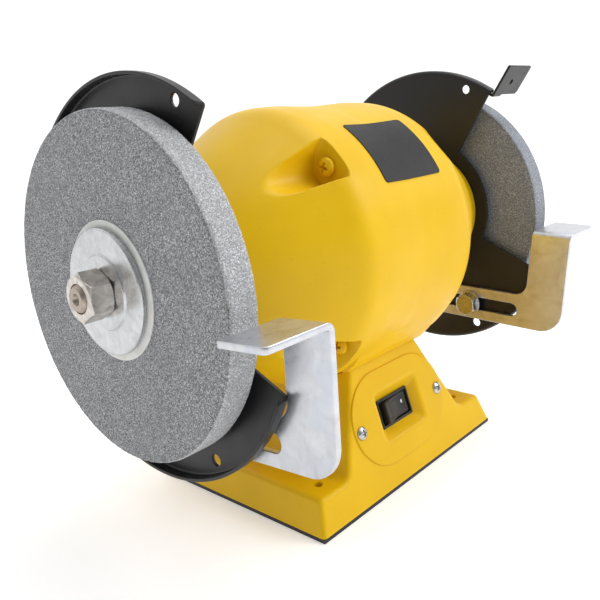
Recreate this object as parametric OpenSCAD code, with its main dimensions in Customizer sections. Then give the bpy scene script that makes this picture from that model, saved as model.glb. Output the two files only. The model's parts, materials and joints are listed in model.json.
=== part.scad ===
// Bench grinder with two wheels on one motor shaft, in mm.
// X runs along the shaft, the switch side is -Y and Z is up.
// The origin is the centre of the four bench holes, on the underside of the bottom plate.

/* [Wheels] */
// Diameter of both grinding wheels
wheel_diameter = 152; // [140:1:153]
// Thickness of both grinding wheels
wheel_width = 14; // [12:0.5:16]

/* [Motor] */
// Height of the shaft axis above the bench
axis_height = 126.5; // [126:0.5:130]
// Outer radius of the inner wheel guards
guard_radius = 90.5; // [90:0.5:93]

/* [Tool rests] */
// Tilt of the left tool rest about its clamp bolt, in degrees
left_rest_tilt = -3.5; // [-4:0.5:2]
// Tilt of the right tool rest about its clamp bolt, in degrees
right_rest_tilt = 2.5; // [2:0.5:6]
// Distance from the left clamp bolt forward to the front end of the slot
left_rest_reach = 42.5; // [40:0.5:50]
// Distance from the right clamp bolt forward to the front end of the slot
right_rest_reach = 34; // [33.5:0.5:50]

/* [Hidden] */
$fn = 96;

// Wheel stack along the shaft, measured from the middle of the motor
wheel_radius = wheel_diameter / 2;
wheel_inner_x = 115;
wheel_outer_x = wheel_inner_x + wheel_width;
paper = 0.7;
paper_radius = 30.4;
flange_radius = 27.4;
flange_x = wheel_outer_x + paper;
nut_x = flange_x + 3.7;
nut_length = 10.5;
nut_flats = 19;
shaft_end = nut_x + nut_length + 1.2;
arbor_radius = 6.35;
shoulder_x = 111.7;

// Motor body
barrel_half = 37;
barrel_bore = 68.5;
pocket_x = 41;
bolt_circle = 64;
bolt_angle = 47.6;
pocket_radius = 9.25;
bell_end = 109;
bearing_x = 92;
bearing_width = 11;
housing_bore = 17.5;
bearing_outer = 17.48;
bearing_bore = 7.5;
ball_circle = 12.5;
ball_radius = 2.5;
groove_radius = 2.8;
ball_count = 7;
stator_radius = 60;
stator_half = 24;
air_bore = 30;
slot_count = 12;

// Base
plate_thickness = 2;
base_half_x = 75.9;
base_half_y = 60.8;
flange_height = 18;
seam_drop = 61.5;
seam_z = axis_height - seam_drop;
front_slope = 0.306;
side_slope = 0.289;
foot_half_x = 32.5;
pedestal_low_x = 50.5;
pedestal_high_x = 28.4;
pedestal_top = 65;
casting_wall = 4.3;
cradle_radius = 73.1;
cradle_web = 4;
hole_x = 60.5;
hole_y = 44;
bench_hole_radius = 2.2;
plate_screw_x = 36;
plate_screw_y = 50;
motor_bolt_x = 14;
motor_lead_x = 27.5;

// Switch, placed in the plane of the leaning front face
lean = atan(front_slope);
switch_z = 36;
switch_y = -(base_half_y - front_slope * switch_z);
face_half = 38.5;
face_round = 24.5;
seat_depth = 1.2;
plate_low = -1.15;
plate_high = 0.75;
dish_depth = 5;
face_screw_x = 33.7;
face_screw_y = -1.4;
rocker_tilt = 9;
rocker_pivot = -8.2;
rocker_pin = 1.2;

// Cord inlet in the leaning back face
inlet_z = 30;
inlet_radius = 7;
cord_bore = 4;

// Wiring in the base
cap_y = 17;
cap_z = 17.8;
strap_screw = [20, 33.5];
earth_place = [34, -8];
pole_x = [-18, -6, 6];
block_front = -20;
block_depth = 15;
wire_z = 8;
wire_radius = 1.1;

// Guards and tool rests
guard_x = 109;
guard_sheet = 1.5;
lip_x = 115;
bracket_tab = 8;
bracket_sheet = 1.6;
opening_from = 34;
opening_to = 114.5;
opening_radius = 45;
guard_screw_circle = 32;
rim_hole_radius = 2.75;
clamp_y = -31.5;
clamp_z = -61.7;
clamp_head_x = 98.8;
rest_sheet = 2.8;
rest_x = 108.7 - rest_sheet;
rest_end_x = 139.5;
arm_half = 10.7;
slot_half = 4.25;
slot_length = 60;
arm_length = 68;
table_height = 52.8;
table_start = 9.9;
table_width = 24.6;
strip_slope = 0.0875;

yellow = [0.93, 0.72, 0.12];
black = [0.1, 0.1, 0.11];
zinc = [0.76, 0.77, 0.78];
steel = [0.6, 0.61, 0.62];
grit = [0.47, 0.48, 0.49];
copper = [0.72, 0.42, 0.2];

// ---- helpers ----

// A solid turned about the shaft line from points [radius, distance along the shaft].
module turned(points) {
  translate([0, 0, axis_height]) rotate([0, 90, 0]) rotate_extrude() polygon(points);
}

// A cylinder along X at a given Y and height above the shaft line.
module bar_x(radius, x_from, x_to, y = 0, z = 0) {
  translate([x_from, y, axis_height + z]) rotate([0, 90, 0]) cylinder(r = radius, h = x_to - x_from);
}

// A flat outline drawn in Y and Z about the shaft line, with thickness along X.
module sheet_yz(x_from, thickness) {
  translate([x_from, 0, axis_height]) rotate([90, 0, 90]) linear_extrude(thickness) children();
}

// A block whose four sides lean in at an even slope.
module wedge(x_low, x_high, y_low, y_high, z_low, z_high) {
  intersection() {
    rotate([90, 0, 0]) translate([0, 0, -200]) linear_extrude(400)
      polygon([[-x_low, z_low], [x_low, z_low], [x_high, z_high], [-x_high, z_high]]);
    rotate([90, 0, 90]) translate([0, 0, -200]) linear_extrude(400)
      polygon([[-y_low, z_low], [y_low, z_low], [y_high, z_high], [-y_high, z_high]]);
  }
}

module left() {
  mirror([1, 0, 0]) children();
}

// Places children in the plane of the leaning front face, Z pointing outward.
module on_face() {
  translate([0, switch_y, switch_z]) rotate([90 - lean, 0, 0]) children();
}

// Places children on the cord inlet in the leaning back face, Z pointing outward.
module on_back() {
  translate([0, face_y(inlet_z), inlet_z]) rotate([lean - 90, 0, 0]) children();
}

module four(x, y) {
  for (sx = [-1, 1]) {
    for (sy = [-1, 1]) {
      translate([sx * x, sy * y, 0]) children();
    }
  }
}

// A pan head screw pointing down, head underside at zero, with a cross recess.
module pan_screw(shank, length, head, head_height) {
  difference() {
    union() {
      translate([0, 0, -length]) cylinder(r = shank, h = length + 0.5);
      intersection() {
        cylinder(r = head, h = head_height);
        translate([0, 0, head_height - head * 1.45]) sphere(r = head * 1.45);
      }
    }
    translate([-head * 0.55, -head * 0.12, head_height * 0.45]) cube([head * 1.1, head * 0.24, head_height]);
    translate([-head * 0.12, -head * 0.55, head_height * 0.45]) cube([head * 0.24, head * 1.1, head_height]);
  }
}

// The four places round the shaft where the long bolts run.
module bolt_places() {
  for (a = [bolt_angle, -bolt_angle, 180 - bolt_angle, 180 + bolt_angle]) {
    translate([0, -bolt_circle * sin(a), axis_height + bolt_circle * cos(a)]) rotate([a, 0, 0]) children();
  }
}

// Half depth and half width of the base at a height.
function face_y(z) = base_half_y - front_slope * z;
function side_x(z) = base_half_x - side_slope * z;
function pedestal_slope() = (pedestal_low_x - pedestal_high_x) / (pedestal_top - flange_height);
function pedestal_x(z) = pedestal_low_x - pedestal_slope() * (z - flange_height);

// ---- base ----

module base_outside() {
  wedge(side_x(plate_thickness), side_x(flange_height), face_y(plate_thickness),
    face_y(flange_height), plate_thickness, flange_height);
  wedge(pedestal_x(plate_thickness), pedestal_x(seam_z - 0.1), face_y(plate_thickness),
    face_y(seam_z - 0.1), plate_thickness, seam_z - 0.1);
}

module base_hollow() {
  roof = flange_height - 5;
  wedge(side_x(0) - 6, side_x(roof) - 6, face_y(0) - 6, face_y(roof) - 6, 0, roof);
  difference() {
    wedge(pedestal_x(0) - casting_wall - 0.4, pedestal_x(seam_z) - casting_wall - 0.4,
      face_y(0) - casting_wall, face_y(seam_z) - casting_wall, 0, seam_z);
    bar_x(cradle_radius + cradle_web, -80, 80);
  }
}

module base_bosses() {
  intersection() {
    base_outside();
    union() {
      four(hole_x, hole_y) cylinder(r = 8, h = flange_height);
      four(plate_screw_x, plate_screw_y) cylinder(r = 5, h = flange_height - 2);
      on_face() {
        for (sx = [-1, 1]) {
          translate([sx * face_screw_x, face_screw_y, -14]) cylinder(r = 4.2, h = 14);
        }
      }
    }
  }
}

module base_casting() {
  color(yellow) difference() {
    union() {
      difference() {
        base_outside();
        base_hollow();
      }
      base_bosses();
    }
    bar_x(cradle_radius, -80, 80);
    four(hole_x, hole_y) cylinder(r = bench_hole_radius, h = 60, center = true);
    four(plate_screw_x, plate_screw_y) cylinder(r = 1.7, h = flange_height - 5);
    on_face() {
      translate([0, 0, -seat_depth]) linear_extrude(20) face_outline(0.3);
      translate([-21, -16, -12]) cube([42, 32, 20]);
      for (sx = [-1, 1]) {
        translate([sx * face_screw_x, face_screw_y, -11]) cylinder(r = 1.7, h = 20);
      }
    }
    for (sx = [-1, 1]) {
      translate([sx * motor_bolt_x, 0, 30]) cylinder(r = 3.2, h = 40);
    }
    translate([motor_lead_x, 0, 30]) cylinder(r = 2.6, h = 40);
    on_back() cylinder(r = inlet_radius + 0.2, h = 24, center = true);
  }
}

module bottom_plate() {
  color(black) difference() {
    translate([-side_x(0) + 0.8, -face_y(0) + 0.8, 0])
      cube([2 * side_x(0) - 1.6, 2 * face_y(0) - 1.6, plate_thickness]);
    four(hole_x, hole_y) cylinder(r = bench_hole_radius, h = 20, center = true);
    four(plate_screw_x, plate_screw_y) cylinder(r = 2.2, h = 20, center = true);
    four(plate_screw_x, plate_screw_y) translate([0, 0, -0.1]) cylinder(r1 = 4.1, r2 = 2.2, h = 1.9);
    translate([strap_screw[0], strap_screw[1], -1]) cylinder(r = 1.6, h = 10);
    translate([earth_place[0], earth_place[1], -1]) cylinder(r = 1.6, h = 10);
  }
}

module bottom_screws() {
  color(zinc) four(plate_screw_x, plate_screw_y) difference() {
    union() {
      cylinder(r1 = 3.9, r2 = 2.05, h = 1.7);
      cylinder(r = 1.6, h = 11);
    }
    translate([-2.2, -0.5, -0.5]) cube([4.4, 1, 1.4]);
    translate([-0.5, -2.2, -0.5]) cube([1, 4.4, 1.4]);
  }
}

// ---- switch ----

module face_outline(gap = 0) {
  straight = face_half - face_round;
  for (sx = [-1, 1]) {
    translate([sx * straight, 0]) circle(r = face_round + gap);
  }
  translate([-straight, -face_round - gap]) square([2 * straight, 2 * (face_round + gap)]);
}

module switch_plate() {
  color(yellow) on_face() difference() {
    union() {
      translate([0, 0, plate_low]) linear_extrude(plate_high - plate_low) face_outline();
      wedge(15.3, 20.2, 9.7, 15.2, -dish_depth - 2, 0.2);
    }
    wedge(13.4, 18.6, 7.9, 13.6, -dish_depth, plate_high + 0.1);
    translate([-12.5, -7.1, -12]) cube([25, 14.2, 20]);
    for (sx = [-1, 1]) {
      translate([sx * face_screw_x, face_screw_y, -4]) cylinder(r = 2.1, h = 10);
    }
  }
}

module switch_screws() {
  color(zinc) on_face() for (sx = [-1, 1]) {
    translate([sx * face_screw_x, face_screw_y, plate_high + 0.03]) rotate([0, 0, sx * 20 + 25])
      pan_screw(1.6, 11, 3.4, 1.8);
  }
}

module switch_body() {
  color(black) on_face() difference() {
    union() {
      translate([-13.1, -7.7, -dish_depth]) cube([26.2, 15.4, 1.6]);
      translate([-12.3, -6.9, -dish_depth - 19]) cube([24.6, 13.8, 19.5]);
      for (sx = [-1, 1]) {
        translate([sx * 6 - 0.4, -3, -dish_depth - 27]) cube([0.8, 6, 9]);
      }
    }
    translate([-11.9, -6.3, -dish_depth - 9]) cube([23.8, 12.6, 20]);
    translate([0, 0, rocker_pivot]) rotate([90, 0, 0])
      cylinder(r = rocker_pin + 0.05, h = 20, center = true);
  }
}

// Rocker with a shallow valley across its middle, right half pressed in, on a pin at each side.
module rocker() {
  color(black) on_face() translate([0, 0, rocker_pivot]) rotate([0, rocker_tilt, 0]) rotate([90, 0, 0]) {
    translate([0, 0, -5.9]) linear_extrude(11.8)
      polygon([[-10.7, -1.5], [-3, -4.5], [3, -4.5], [10.7, -1.5], [10.7, 5.6], [8, 5.7],
        [0, 4.6], [-8, 5.7], [-10.7, 5.6]]);
    cylinder(r = rocker_pin, h = 13.4, center = true);
  }
}

// ---- electrics in the base ----

// Rubber grommet with a flange on each side of the wall.
module cord_grommet() {
  color(black) on_back() difference() {
    union() {
      translate([0, 0, -6.4]) cylinder(r = inlet_radius + 2, h = 2.1);
      translate([0, 0, -5]) cylinder(r = inlet_radius, h = 6);
      translate([0, 0, 0.15]) cylinder(r = inlet_radius + 2, h = 2.1);
    }
    translate([0, 0, -20]) cylinder(r = cord_bore, h = 40);
  }
}

module capacitor() {
  color(zinc) translate([0, cap_y, cap_z]) rotate([0, 90, 0]) difference() {
    union() {
      translate([0, 0, -24]) cylinder(r = 14, h = 48);
      for (sy = [-4, 4]) {
        translate([-0.4, sy - 3, 23]) cube([0.8, 6, 8]);
      }
    }
    translate([0, 0, 22.8]) difference() {
      cylinder(r = 12.8, h = 2);
      translate([-6, -8, -1]) cube([12, 16, 4]);
    }
  }
}

module capacitor_clamp() {
  color(steel) difference() {
    union() {
      translate([14, cap_y, cap_z]) rotate([0, 90, 0]) cylinder(r = 15.2, h = 12);
      translate([14, cap_y + 6, plate_thickness + 0.05]) cube([12, 16, 1.2]);
    }
    translate([0, cap_y, cap_z]) rotate([0, 90, 0]) cylinder(r = 14.1, h = 60);
    translate([strap_screw[0], strap_screw[1], 0]) cylinder(r = 2.1, h = 6);
    translate([0, 0, -6]) cube([60, 80, plate_thickness + 6]);
  }
}

module clamp_screw() {
  color(zinc) translate([strap_screw[0], strap_screw[1], plate_thickness + 1.3]) pan_screw(1.5, 3.2, 3.2, 2);
}

// Three-pole block, a wire hole and a screw well for each pole.
module terminal_block() {
  color([0.9, 0.89, 0.84]) difference() {
    translate([-24, block_front, plate_thickness + 0.05]) cube([36, block_depth, 14]);
    for (x = pole_x) {
      translate([x, block_front + block_depth / 2, 9]) cylinder(r = 2.4, h = 20);
      translate([x, block_front - 5, wire_z]) rotate([-90, 0, 0]) cylinder(r = 1.7, h = block_depth + 10);
    }
  }
}

module earth_screw() {
  color([0.78, 0.62, 0.3]) translate([earth_place[0], earth_place[1], plate_thickness + 0.1])
    pan_screw(1.5, 2.1, 3.4, 2.2);
}

function unit(v) = v / norm(v);

// An insulated wire in straight runs. Every other run is a little thicker and covers the corners.
module lead(points) {
  for (i = [0:len(points) - 2]) {
    run = points[i + 1] - points[i];
    along = unit(run);
    thick = wire_radius + (i % 2) * 0.2;
    before = (i % 2 == 1) ? thick : 0;
    after = (i % 2 == 1 && i < len(points) - 2) ? thick : 0;
    translate(points[i] - along * before) rotate([0, acos(along[2]), atan2(along[1], along[0])])
      cylinder(r = thick, h = norm(run) + before + after);
  }
}

// Two leads to the switch, one up to the motor and one to the capacitor.
module leads() {
  into = block_front + 3;
  out = block_front + block_depth - 3;
  tab_y = -25.2;
  color([0.25, 0.3, 0.6]) {
    for (x = [pole_x[1], pole_x[2]]) {
      lead([[x, into, wire_z], [x, tab_y, wire_z], [x, tab_y, 24.5]]);
    }
    lead([[pole_x[2], out, wire_z], [pole_x[2], 0.2, wire_z], [motor_lead_x, 0.2, wire_z],
      [motor_lead_x, 0.2, 72]]);
    lead([[pole_x[1], out, wire_z], [pole_x[1], 3.2, wire_z], [34, 3.2, wire_z], [34, 13, wire_z],
      [34, 13, cap_z], [31.2, 13, cap_z]]);
  }
}

module motor_bolts() {
  color(zinc) for (sx = [-1, 1]) {
    translate([sx * motor_bolt_x, 0, 0]) {
      translate([0, 0, axis_height - cradle_radius - cradle_web - 5.2]) cylinder(r = 5.77, h = 4, $fn = 6);
      translate([0, 0, axis_height - cradle_radius - cradle_web - 1.2]) cylinder(r = 6.2, h = 1.1);
      translate([0, 0, axis_height - cradle_radius - cradle_web - 2]) cylinder(r = 2.9, h = 17);
    }
  }
}

// ---- motor body ----

// Outer line of the barrel: two slight swells with a waist between them.
barrel_line = [[72.6, -37], [72.9, -27], [72.2, -12], [71.8, 0], [72.2, 12], [72.9, 27], [72.6, 37]];

module foot_block() {
  z = -seam_drop;
  sheet_yz(-foot_half_x, 2 * foot_half_x)
    polygon([[-42.5, z], [42.5, z], [49, z + 6.5], [55, z + 15], [-55, z + 15], [-49, z + 6.5]]);
}

module motor_shell() {
  color(yellow) difference() {
    union() {
      difference() {
        union() {
          turned(concat([[barrel_bore, -barrel_half]], barrel_line, [[barrel_bore, barrel_half]]));
          foot_block();
        }
        bar_x(barrel_bore, -80, 80);
      }
      intersection() {
        turned([[stator_radius + 0.05, -stator_half], [barrel_bore + 1, -stator_half],
          [barrel_bore + 1, stator_half], [stator_radius + 0.05, stator_half]]);
        union() {
          translate([-60, -7, axis_height - 100]) cube([120, 14, 200]);
          translate([-60, -100, axis_height - 7]) cube([120, 200, 14]);
        }
      }
    }
    for (sx = [-1, 1]) {
      translate([sx * motor_bolt_x, 0, 30]) cylinder(r = 3, h = 45);
    }
    translate([motor_lead_x, 0, 30]) cylinder(r = 2.6, h = 40);
  }
}

// Outline of the right end bell: shoulder, long taper and short nose.
bell_line = [[72.6, 37], [72.3, 40.5], [71.3, 44], [69.6, 47.5], [67.4, 51], [41.6, 97],
  [39.6, 100], [37.4, 103], [37, bell_end]];

module bell_solid() {
  turned(concat([[0, barrel_half]], bell_line, [[0, bell_end]]));
}

module bell() {
  color(yellow) difference() {
    union() {
      turned(concat(bell_line, [[9.5, bell_end], [9.5, 104], [housing_bore, 104],
        [housing_bore, bearing_x], [22.5, bearing_x], [22.5, 104], [32.6, 104], [35, 100],
        [37, 96.5], [62.6, 51], [66, 46.5], [67.9, 42], [barrel_bore, barrel_half]]));
      intersection() {
        bell_solid();
        bolt_places() rotate([0, 90, 0]) cylinder(r = pocket_radius + 2.8, h = 80);
      }
    }
    bolt_places() {
      translate([pocket_x, 0, 0]) rotate([0, 90, 0]) cylinder(r = pocket_radius, h = 60);
      translate([pocket_x, -pocket_radius, 0]) cube([60, 2 * pocket_radius, 40]);
      rotate([0, 90, 0]) cylinder(r = 2.7, h = 80);
    }
    guard_screw_places() rotate([0, 90, 0]) cylinder(r = 1.9, h = 20, center = true);
  }
}

module through_bolts() {
  color(yellow) bolt_places() translate([-pocket_x, 0, 0]) rotate([0, -90, 0]) rotate([0, 0, 20])
    pan_screw(2.4, 2 * pocket_x + 6, 4.6, 3.2);
}

module through_nuts() {
  color(yellow) bolt_places() translate([pocket_x + 0.02, 0, 0]) rotate([0, 90, 0]) difference() {
    cylinder(r = 4.6, h = 4, $fn = 6);
    translate([0, 0, -1]) cylinder(r = 2.45, h = 8);
  }
}

// Blank badge that follows the barrel.
module badge() {
  gap = 0.05;
  skin = 0.4;
  low = [for (p = [[72.53, -19], [72.2, -12], [71.8, 0], [72.2, 12], [72.9, 27]]) [p[0] + gap, p[1]]];
  high = [for (i = [4:-1:0]) [low[i][0] + skin, low[i][1]]];
  color([0.16, 0.16, 0.17]) translate([0, 0, axis_height]) rotate([0, 90, 0]) rotate([0, 0, 212.3])
    rotate_extrude(angle = 30.4) polygon(concat(low, high));
}

// ---- stator, rotor and shaft ----

module slot_places() {
  for (i = [0:slot_count - 1]) {
    translate([0, 0, axis_height]) rotate([i * 360 / slot_count + 15, 0, 0]) children();
  }
}

module stator_core() {
  color(steel) difference() {
    bar_x(stator_radius, -stator_half, stator_half);
    bar_x(air_bore, -60, 60);
    slot_places() {
      translate([-60, -4.5, 33.5]) cube([120, 9, 14]);
      translate([-60, -1.3, 25]) cube([120, 2.6, 12]);
    }
  }
}

module stator_winding() {
  color(copper) {
    slot_places() translate([-stator_half - 6, -4.2, 34]) cube([2 * stator_half + 12, 8.4, 13]);
    for (sx = [-1, 1]) {
      turned([[33.8, sx * 24.4], [47.6, sx * 24.4], [49, sx * 27], [48.6, sx * 35], [46, sx * 38.5],
        [36, sx * 38.5], [33.6, sx * 36]]);
    }
  }
}

module rotor_core() {
  color(steel) difference() {
    bar_x(air_bore - 0.5, -stator_half, stator_half);
    bar_x(11.02, -60, 60);
  }
}

module rotor_rings() {
  color([0.8, 0.81, 0.82]) for (sx = [-1, 1]) {
    turned([[18, sx * 24.05], [28.4, sx * 24.05], [28, sx * 31], [26.5, sx * 32.5], [19, sx * 32.5]]);
  }
}

module shaft() {
  color(steel) turned([[0, -shaft_end + 4], [1.8, -shaft_end + 1.5], [3, -shaft_end],
    [arbor_radius - 1, -shaft_end], [arbor_radius, -shaft_end + 1.2], [arbor_radius, -shoulder_x],
    [bearing_bore, -shoulder_x], [bearing_bore, -bearing_x], [9.5, -bearing_x], [9.5, -40],
    [11, -40], [11, 40], [9.5, 40], [9.5, bearing_x], [bearing_bore, bearing_x],
    [bearing_bore, shoulder_x], [arbor_radius, shoulder_x], [arbor_radius, shaft_end - 1.2],
    [arbor_radius - 1, shaft_end], [3, shaft_end], [1.8, shaft_end - 1.5], [0, shaft_end - 4]]);
}

// ---- bearings ----

ball_x = bearing_x + bearing_width / 2;

module race(r_low, r_high) {
  translate([0, 0, axis_height]) rotate([0, 90, 0]) rotate_extrude() difference() {
    translate([r_low, bearing_x]) square([r_high - r_low, bearing_width]);
    translate([ball_circle, ball_x]) circle(r = groove_radius, $fn = 48);
  }
}

module bearing_outer_ring() {
  color(zinc) race(ball_circle + 2.1, bearing_outer);
}

module bearing_inner_ring() {
  color(zinc) race(bearing_bore + 0.02, ball_circle - 2.1);
}

module ball_places() {
  for (i = [0:ball_count - 1]) {
    translate([ball_x, 0, axis_height]) rotate([i * 360 / ball_count, 0, 0])
      translate([0, 0, ball_circle]) children();
  }
}

module balls() {
  color([0.85, 0.86, 0.88]) ball_places() sphere(r = ball_radius, $fn = 32);
}

module cage() {
  color([0.75, 0.6, 0.3]) difference() {
    turned([[ball_circle - 0.9, ball_x + 0.8], [ball_circle + 0.9, ball_x + 0.8],
      [ball_circle + 0.9, ball_x + 3.2], [ball_circle - 0.9, ball_x + 3.2]]);
    ball_places() sphere(r = ball_radius + 0.1, $fn = 32);
  }
}

module wave_washer() {
  near = -bearing_x - bearing_width - 0.1;
  far = near - 0.8;
  color(steel) turned([[13.5, far], [17.3, far], [17.3, near], [13.5, near]]);
}

// ---- wheel side ----

module wheel() {
  bore = arbor_radius + 0.05;
  edge = 0.8;
  color(grit) turned([[bore, wheel_inner_x], [wheel_radius - edge, wheel_inner_x],
    [wheel_radius, wheel_inner_x + edge], [wheel_radius, wheel_outer_x - edge],
    [wheel_radius - edge, wheel_outer_x], [bore, wheel_outer_x]]);
}

module blotters() {
  color([0.88, 0.87, 0.83]) for (x = [wheel_inner_x - paper, wheel_outer_x]) {
    turned([[arbor_radius + 0.3, x + 0.02], [paper_radius, x + 0.02], [paper_radius, x + paper - 0.02],
      [arbor_radius + 0.3, x + paper - 0.02]]);
  }
}

module inner_flange() {
  bore = arbor_radius + 0.03;
  x = wheel_inner_x - paper;
  color(zinc) turned([[bore, shoulder_x + 0.02], [flange_radius - 1, shoulder_x + 0.02],
    [flange_radius, shoulder_x + 1], [flange_radius, x], [18, x], [17, x - 0.6], [bore, x - 0.6]]);
}

module outer_flange() {
  bore = arbor_radius + 0.03;
  x = flange_x;
  color(zinc) turned([[bore, x + 0.7], [18, x + 0.7], [19, x], [25.8, x], [flange_radius, x + 1.2],
    [flange_radius, x + 2.4], [flange_radius - 0.7, x + 2.9], [16.6, x + 2.9], [15.9, x + 3.7],
    [bore, x + 3.7]]);
}

module wheel_nut() {
  corner = nut_flats / 2 / cos(30);
  chamfer = corner - nut_flats / 2 + 0.5;
  color(zinc) difference() {
    intersection() {
      translate([nut_x, 0, axis_height]) rotate([0, 90, 0]) cylinder(r = corner, h = nut_length, $fn = 6);
      turned([[0, nut_x], [corner - chamfer, nut_x], [corner + 0.1, nut_x + chamfer * 0.5],
        [corner + 0.1, nut_x + nut_length - chamfer * 0.5], [corner - chamfer, nut_x + nut_length],
        [0, nut_x + nut_length]]);
    }
    bar_x(arbor_radius + 0.04, 100, 200);
  }
}

// ---- guards ----

module guard_screw_places() {
  for (a = [60, 180, 300]) {
    translate([bell_end, -guard_screw_circle * sin(a), axis_height + guard_screw_circle * cos(a)])
      rotate([a, 0, 0]) children();
  }
}

// The slice left open at the front of a guard, outside a given radius.
module front_slice(radius) {
  far = 140;
  mid = (opening_from + opening_to) / 2;
  difference() {
    polygon([[0, 0], [-far * sin(opening_from), far * cos(opening_from)], [-far * sin(mid), far * cos(mid)],
      [-far * sin(opening_to), far * cos(opening_to)]]);
    circle(r = radius);
  }
}

module rim_hole(angle, radius) {
  translate([-radius * sin(angle), radius * cos(angle)]) circle(r = rim_hole_radius);
}

module guard() {
  color(black) difference() {
    union() {
      sheet_yz(guard_x, guard_sheet) difference() {
        circle(r = guard_radius);
        circle(r = 16);
        front_slice(opening_radius);
        rim_hole(23, guard_radius - 7.2);
        rim_hole(156, guard_radius - 7.2);
        rim_hole(-70, guard_radius - 5.5);
        translate([clamp_y, clamp_z]) circle(r = slot_half);
      }
      sheet_yz(guard_x, lip_x - guard_x) difference() {
        circle(r = guard_radius);
        circle(r = guard_radius - guard_sheet);
        front_slice(opening_radius);
      }
    }
    guard_screw_places() rotate([0, 90, 0]) cylinder(r = 2.3, h = 20, center = true);
  }
}

module guard_screws() {
  color(zinc) guard_screw_places() translate([guard_sheet + 0.05, 0, 0]) rotate([0, 90, 0])
    pan_screw(1.85, 7.5, 3.6, 2.2);
}

module shield_bracket() {
  bend = guard_radius - 3.8;
  turn = opening_from + 1.6;
  color(black) {
    sheet_yz(guard_x + guard_sheet + 0.1, bracket_tab) rotate(turn)
      translate([-0.8, bend]) square([11, bracket_sheet]);
    difference() {
      sheet_yz(guard_x + 0.5, 28.3) rotate(turn) translate([-0.8, bend]) square([bracket_sheet, 22.4]);
      translate([122, 0, axis_height]) rotate([turn, 0, 0]) translate([0, -10, bend + 11.5])
        rotate([-90, 0, 0]) cylinder(r = 1.7, h = 20, $fn = 48);
    }
  }
}

// ---- tool rests ----

// Side outline of a rest: slotted arm and upright strip, slot front end at zero.
module rest_outline() {
  low = -arm_half;
  high = table_height - 2;
  back = table_start - strip_slope * table_height;
  front = back + table_width;
  round_v = low + 16;
  round_u = front + strip_slope * round_v - 16;
  difference() {
    union() {
      translate([-arm_length + arm_half, 0]) circle(r = arm_half);
      translate([-arm_length + arm_half, low]) square([arm_length, 2 * arm_half]);
      polygon([[back + strip_slope * low, low], [front + strip_slope * low, low],
        [front + strip_slope * high, high], [back + strip_slope * high, high]]);
      difference() {
        translate([-3, arm_half - 1]) square([10.2, 10]);
        translate([-3, arm_half + 9]) circle(r = 9);
      }
    }
    difference() {
      translate([round_u, low - 1]) square([40, round_v - low + 1]);
      translate([round_u, round_v]) circle(r = 16);
    }
    translate([-slot_half, 0]) circle(r = slot_half);
    translate([-slot_length + slot_half, 0]) circle(r = slot_half);
    translate([-slot_length + slot_half, -slot_half]) square([slot_length - 2 * slot_half, 2 * slot_half]);
  }
}

// Section of the table along the shaft, with a rounded bend.
module table_section() {
  bend = 4.2;
  union() {
    difference() {
      translate([0, -12]) square([bend, 12]);
      difference() {
        translate([-1, -bend]) square([bend + 1, bend + 1]);
        translate([bend, -bend]) circle(r = bend);
      }
      translate([rest_sheet, -20]) square([20, 20 - bend]);
      translate([bend, -bend]) circle(r = bend - rest_sheet);
    }
    translate([bend, -rest_sheet]) square([rest_end_x - rest_x - bend, rest_sheet]);
  }
}

module rest(tilt, reach) {
  color(zinc) translate([rest_x, clamp_y, axis_height + clamp_z]) rotate([tilt, 0, 0])
    translate([0, -reach, 0]) {
      rotate([90, 0, 90]) linear_extrude(rest_sheet) mirror([1, 0]) difference() {
        rest_outline();
        translate([0, table_height - 8]) square([60, 20]);
      }
      translate([0, -table_start, table_height]) rotate([90, 0, 0]) linear_extrude(table_width)
        table_section();
    }
}

module clamp_bolt() {
  color(zinc) {
    difference() {
      translate([clamp_head_x, clamp_y, axis_height + clamp_z]) rotate([0, 90, 0])
        cylinder(r = 7.5, h = 5.2, $fn = 6);
      bar_x(5, clamp_head_x - 0.8, clamp_head_x + 0.2, clamp_y, clamp_z);
    }
    bar_x(3.95, 103, 113, clamp_y, clamp_z);
  }
}

module clamp_washer() {
  color(zinc) difference() {
    bar_x(8, 104.02, 105.6, clamp_y, clamp_z);
    bar_x(4.05, 100, 110, clamp_y, clamp_z);
  }
}

module clamp_nut() {
  color(zinc) difference() {
    bar_x(6.8, guard_x + guard_sheet, 112.7, clamp_y, clamp_z);
    bar_x(4, 100, 120, clamp_y, clamp_z);
  }
}

base_casting();
bottom_plate();
bottom_screws();
switch_plate();
switch_screws();
switch_body();
rocker();
cord_grommet();
capacitor();
capacitor_clamp();
clamp_screw();
terminal_block();
earth_screw();
leads();
motor_bolts();
motor_shell();
left() bell();  // left_bell
bell();  // right_bell
through_bolts();
through_nuts();
badge();
stator_core();
stator_winding();
left() bearing_outer_ring();  // left_bearing_outer
bearing_outer_ring();  // right_bearing_outer
wave_washer();
left() guard();  // left_guard
guard();  // right_guard
left() guard_screws();  // left_guard_screws
guard_screws();  // right_guard_screws
left() clamp_nut();  // left_rest_nut
clamp_nut();  // right_rest_nut
shield_bracket();
shaft();
rotor_core();
rotor_rings();
left() bearing_inner_ring();  // left_bearing_inner
bearing_inner_ring();  // right_bearing_inner
left() inner_flange();  // left_inner_flange
inner_flange();  // right_inner_flange
left() wheel();  // left_wheel
wheel();  // right_wheel
left() blotters();  // left_blotters
blotters();  // right_blotters
left() outer_flange();  // left_outer_flange
outer_flange();  // right_outer_flange
left() wheel_nut();  // left_nut
wheel_nut();  // right_nut
left() balls();  // left_balls
left() cage();  // left_cage
balls();  // right_balls
cage();  // right_cage
left() rest(left_rest_tilt, left_rest_reach);  // left_rest
left() clamp_bolt();  // left_rest_bolt
left() clamp_washer();  // left_rest_washer
rest(right_rest_tilt, right_rest_reach);  // right_rest
clamp_bolt();  // right_rest_bolt
clamp_washer();  // right_rest_washer
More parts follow.
